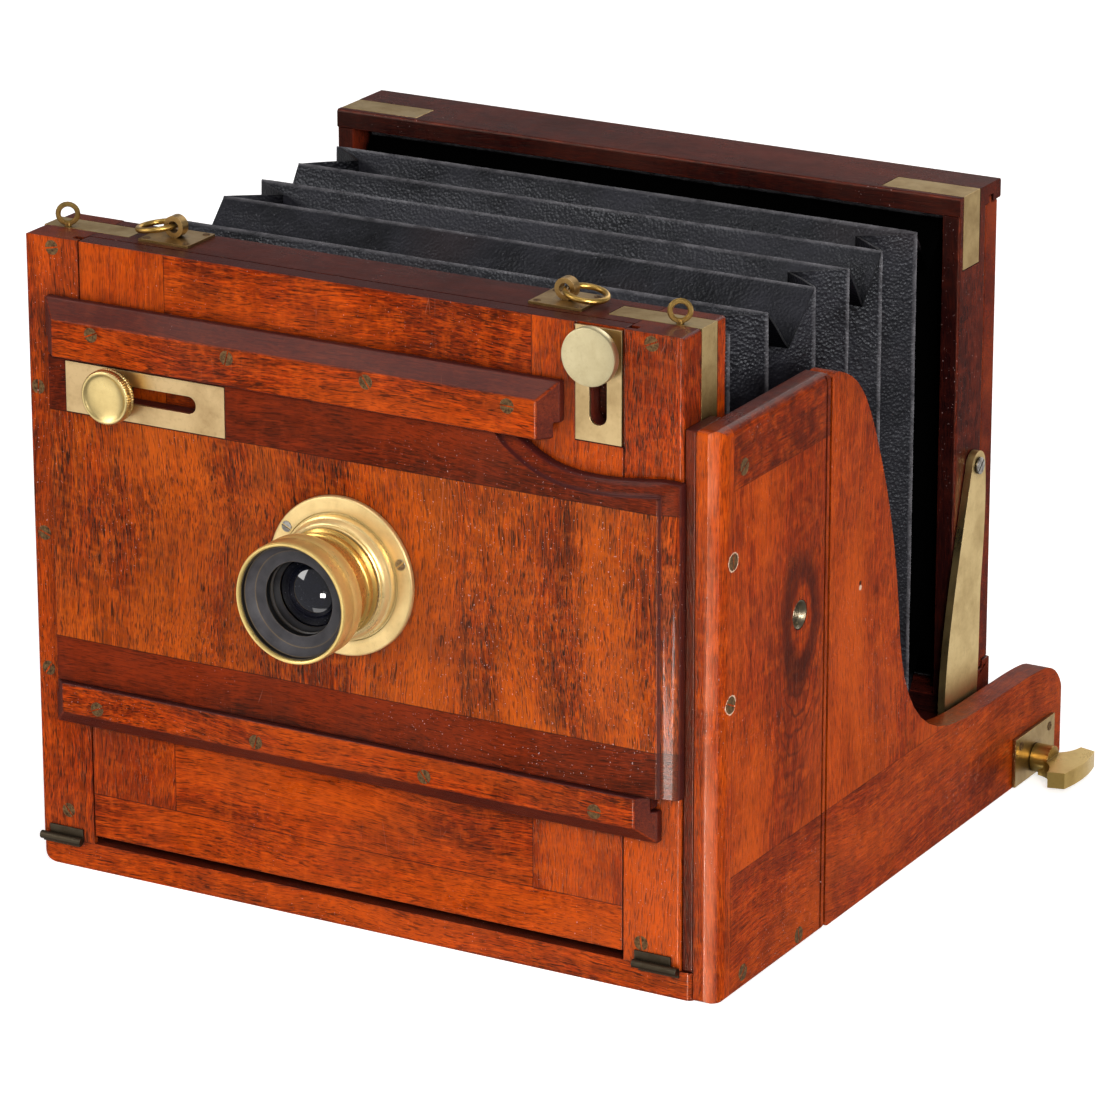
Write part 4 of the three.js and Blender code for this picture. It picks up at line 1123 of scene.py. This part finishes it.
def strut_screw(node, out, look):
    """A screw with a shank and a slotted head, in place of the plain solid."""
    low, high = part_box(node)
    centre = (low + high) / 2
    edge = high.x if out.x > 0 else low.x
    place = facing(Vector((edge, centre.y, centre.z)), out, 0.7)
    long = (high.x - low.x) / MM
    radius = (high.y - low.y) / MM / 2
    mesh = bmesh.new()
    spin(mesh, place, [(0, -long), (2.0, -long), (2.3, 1 - long), (2.3, -1), (0, -1)], 32)
    screw_head(mesh, place, radius, 0.0, 0.45)
    body = frame["nodes"][node]["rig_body"]
    piece(mesh, f"{node}_slotted", body, look, "aged_brass", node, sharp=40)


# ---------------------------------------------------------------- bellows
CRESTS = (64, 100, 145, 178, 211, 246, 278)  # millimetres behind the front frame's face
FOLD = 21.5  # depth of the folds in millimetres


def build_bellows():
    """Square bellows whose level and upright panels overlap at the corners in turn."""
    mesh = bmesh.new()
    mesh.verts.layers.float.new("ridge")
    mesh.verts.layers.float.new("valley")
    stops = fold_stops()
    for first, second in zip(stops, stops[1:]):
        fold_ring(mesh, first, second)
    bmesh.ops.remove_doubles(mesh, verts=mesh.verts, dist=0.02 * MM)
    bmesh.ops.dissolve_degenerate(mesh, edges=mesh.edges, dist=0.01 * MM)
    crumple(mesh)
    made = piece(mesh, "bellows_folded", "camera_body", leather(), "bellows_leather", "bellows", sharp=38)
    thicken(made, 1.2 * MM)
    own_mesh(made)


def fold_stops():
    """Kind and place of every crest and valley, front to back, and whether the level panels overlap."""
    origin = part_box("front_left_stile")[0].y / MM
    crests = [origin + place for place in CRESTS]
    stops = [("valley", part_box("bellows_front_batten")[1].y / MM + 0.3, False)]
    for index, place in enumerate(crests):
        stops.append(("crest", place, False))
        if index + 1 < len(crests):
            stops.append(("valley", (place + crests[index + 1]) / 2, index % 2 == 1))
    stops.append(("valley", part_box("bellows_rear_batten")[0].y / MM - 0.3, True))
    return stops


def corner_ends(stop, sign_x, sign_z):
    """Where the level panel's edge and the side panel's edge end at one corner."""
    kind, y, over = stop
    low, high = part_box("bellows")
    middle = centre_of("bellows") / MM
    half, tall = high.x / MM, (high.z - low.z) / 2 / MM

    def at(x, z):
        return Vector((sign_x * x, y, middle.z + sign_z * z))

    if kind == "crest":
        return at(half, tall), at(half, tall)
    inner = at(half - FOLD, tall - FOLD)
    if over:
        return at(half - 1.2, tall - FOLD), inner
    return inner, at(half - FOLD, tall)


def fold_ring(mesh, first, second):
    """Four panels between a crest and the valley beside it; at each corner one overlaps the other."""
    crest, valley = (first, second) if first[0] == "crest" else (second, first)
    level, upright = {}, {}
    for sign_x in (-1, 1):
        for sign_z in (-1, 1):
            tip = corner_ends(crest, sign_x, sign_z)[0]
            level_end, upright_end = corner_ends(valley, sign_x, sign_z)
            level[sign_x, sign_z] = (tip, level_end)
            upright[sign_x, sign_z] = (tip, upright_end)
    for sign in (-1, 1):
        left, right = level[-1, sign], level[1, sign]
        panel_grid(mesh, left[0], right[0], left[1], right[1], 60)
        under, over = upright[sign, -1], upright[sign, 1]
        panel_grid(mesh, under[0], over[0], under[1], over[1], 56)


def panel_grid(mesh, a, b, c, d, across):
    """A fine grid from the crest edge a-b to the valley edge c-d, with its ridge and valley shares."""
    ridge = mesh.verts.layers.float["ridge"]
    valley = mesh.verts.layers.float["valley"]
    along = 12
    rows = []
    for i in range(along + 1):
        t = (i / along) ** 1.6
        row = []
        for j in range(across + 1):
            s = j / across
            point = (a * (1 - s) + b * s) * (1 - t) + (c * (1 - s) + d * s) * t
            vertex = mesh.verts.new(point * MM)
            vertex[ridge] = max(0.0, 1 - t * 22)
            vertex[valley] = t
            row.append(vertex)
        rows.append(row)
    for upper, lower in zip(rows, rows[1:]):
        for j in range(across):
            mesh.faces.new((upper[j], upper[j + 1], lower[j + 1], lower[j]))


def crumple(mesh):
    """Bends the folds a little, as old leather does; the crests stay straighter than the panels."""
    ridge = mesh.verts.layers.float["ridge"]
    for vertex in mesh.verts:
        place = vertex.co / MM
        slack = 1 - vertex[ridge]
        sway = noise.noise(Vector((place.x / 60, place.y / 18, place.z / 60))) * 1.1 * slack
        wave = noise.noise(Vector((place.x / 25 + 9, place.y / 9, place.z / 25))) * 0.5
        vertex.co += Vector((0, sway + wave, (sway - wave) * 0.4)) * MM


def thicken(made, thickness):
    """Turns a sheet into a thin solid round its middle."""
    change = made.modifiers.new("Thick", "SOLIDIFY")
    change.thickness = thickness
    change.offset = 0
    apply_modifier(made, change)


# ---------------------------------------------------------------- studio
def build_studio():
    """Floor, white surroundings, lamps and reflecting cards, all aimed at the camera's middle."""
    low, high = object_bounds()
    studio_floor(low.z - 0.2 * MM)
    build_world()
    aim = (low + high) / 2
    soft_lamps(aim)
    reflecting_cards(aim)


def studio_floor(ground):
    """Pale matt floor that looks as white as the background but throws no light of its own."""
    mesh = bmesh.new()
    reach = 14.0
    corners = [(-reach, -reach), (reach, -reach), (reach, reach), (-reach, reach)]
    mesh.faces.new([mesh.verts.new((x, y, ground)) for x, y in corners])
    floor = finish_mesh(mesh, "studio_floor")
    build = Shader("studio_floor")
    tone = build.mix(build.noise(build.moved, 3.0, 2.0), (0.84, 0.84, 0.84, 1), (0.88, 0.88, 0.88, 1))
    lift = build.times(build.node("LightPath").outputs["Is Camera Ray"], 0.62)
    floor.data.materials.append(build.finish(
        Base_Color=tone, Roughness=0.9, Specular_IOR_Level=0.0, Emission_Color=(1, 1, 1, 1),
        Emission_Strength=lift,
    ))
    floor.visible_glossy = False
    floor.visible_shadow = False


def soft_lamps(aim):
    """Large lamps round the camera; the key lamp's mirror image is left to the cards."""
    for name, place, size, power in (
        ("key", (2.0, -2.3, 1.5), 0.9, 64),
        ("side", (1.9, -0.95, 0.55), 0.6, 13),
        ("fill", (-2.0, -1.8, 1.5), 1.5, 30),
        ("back", (0.1, 2.4, 1.3), 1.6, 15),
        ("top", (0.0, -0.6, 2.4), 1.2, 8),
    ):
        lamp = area_light(name, place, aim, size, power)
        lamp.visible_glossy = name != "key"


def reflecting_cards(aim):
    """Cards that only metal, wood, leather or glass mirrors: direction, width, height and power."""
    cards = {
        "metal": (
            ("front_card", (-0.47, -0.82, -0.33), 2.0, 2.0, 11.5),
            ("side_card", (0.47, 0.82, -0.33), 2.0, 2.0, 8.5),
            ("upper_card", (-0.47, 0.82, 0.33), 1.6, 1.6, 2.4),
            ("glint", (0.60, -0.69, 0.40), 0.52, 0.52, 20.0),
        ),
        "leather": (("sheen", (0.60, -0.69, 0.40), 0.52, 0.52, 20.0),),
        "wood": (
            ("nose_strip", (0.09, -0.93, -0.33), 0.22, 0.9, 44.0),
            ("corner_strip", (0.80, -0.44, -0.33), 0.30, 0.9, 5.0),
            ("top_strip", (-0.47, -0.28, 0.83), 0.9, 0.5, 8.0),
        ),
        "glass": (
            ("lens_spark", (0.20, -0.95, -0.20), 0.26, 0.26, 9.0),
            ("lens_sheen", (0.0, -0.58, -0.80), 0.9, 0.9, 3.0),
        ),
    }
    for kind, lamps in cards.items():
        group = bpy.data.collections.new(f"{kind}_only")
        for thing in bpy.context.scene.objects:
            if thing.type == "MESH" and kind_of(thing) == kind:
                group.objects.link(thing)
        for name, out, wide, tall, power in lamps:
            lamp = area_light(name, aim + Vector(out) * 1.9, aim, wide, power, tall)
            lamp.visible_diffuse = kind == "metal" and name != "glint"
            lamp.light_linking.receiver_collection = group


def kind_of(thing):
    """Metal, wood, leather or glass, so that each kind can be given reflections of its own."""
    look = thing.data.materials[0] if thing.data.materials else None
    if look is None:
        return "none"
    if look.name.startswith("lens_glass"):
        return "glass"
    if look.name.startswith("bellows"):
        return "leather"
    if look.name.startswith(("mahogany", "dark_", "pale_")):
        return "wood"
    shaders = [node for node in look.node_tree.nodes if node.type == "BSDF_PRINCIPLED"]
    metal = any(node.inputs["Metallic"].default_value > 0.5 for node in shaders)
    return "metal" if metal else "none"


def area_light(name, place, aim, wide, power, tall=None):
    """A rectangular lamp that faces a point and isn't seen itself."""
    data = bpy.data.lights.new(name, "AREA")
    data.shape = "RECTANGLE"
    data.size = wide
    data.size_y = tall or wide
    data.energy = power
    data.color = (1, 0.985, 0.965)
    lamp = bpy.data.objects.new(name, data)
    bpy.context.scene.collection.objects.link(lamp)
    lamp.location = place
    lamp.rotation_euler = (aim - Vector(place)).to_track_quat("-Z", "Y").to_euler()
    lamp.visible_camera = False
    return lamp


def build_world():
    """White behind the camera, brighter grey in reflections than in the soft light all round."""
    world = bpy.data.worlds.new("studio")
    bpy.context.scene.world = world
    world.use_nodes = True
    build = Tree(world.node_tree)
    height = build.node("SeparateXYZ", {0: build.node("TexCoord").outputs["Generated"]}).outputs["Z"]
    path = build.node("LightPath").outputs

    def sky(low, high):
        """Light that rises from one strength near the ground to another overhead."""
        strength = build.span(height, -0.4, 0.7, low, high)
        return build.node("Background", {"Color": (1, 0.99, 0.98, 1), "Strength": strength}).outputs[0]

    def choose(ray, otherwise, chosen):
        return build.node("MixShader", {0: path[ray], 1: otherwise, 2: chosen}).outputs[0]

    mirrored = choose("Is Glossy Ray", sky(0.14, 0.26), sky(0.2, 0.2))
    build.node("OutputWorld", {0: choose("Is Camera Ray", mirrored, sky(1.0, 1.0))})


def build_camera():
    """The photo's point of view: a long lens from the front right, a little above."""
    azimuth, elevation, roll = math.radians(29.55), math.radians(18.99), math.radians(-0.11)
    level = math.cos(elevation)
    back = Vector((math.sin(azimuth) * level, -math.cos(azimuth) * level, math.sin(elevation)))
    right = (-back).cross(UP).normalized()
    up = right.cross(-back)
    across = right * math.cos(roll) + up * math.sin(roll)
    upright = up * math.cos(roll) - right * math.sin(roll)
    data = bpy.data.cameras.new("camera")
    data.lens, data.sensor_width = 191.1, 36
    data.clip_start, data.clip_end = 0.05, 60
    viewer = bpy.data.objects.new("camera", data)
    bpy.context.scene.collection.objects.link(viewer)
    turn = Matrix((across, upright, back)).transposed().to_4x4()
    viewer.matrix_world = Matrix.Translation((1.2697, -2.1116, 1.0106)) @ turn
    bpy.context.scene.camera = viewer


dress_wood()
dress_metal()
build_lens()
rise_knob()
shift_knob()
build_bushes()
build_screws()
build_bellows()
build_studio()
build_camera()
bpy.context.scene.view_settings.view_transform = "Standard"
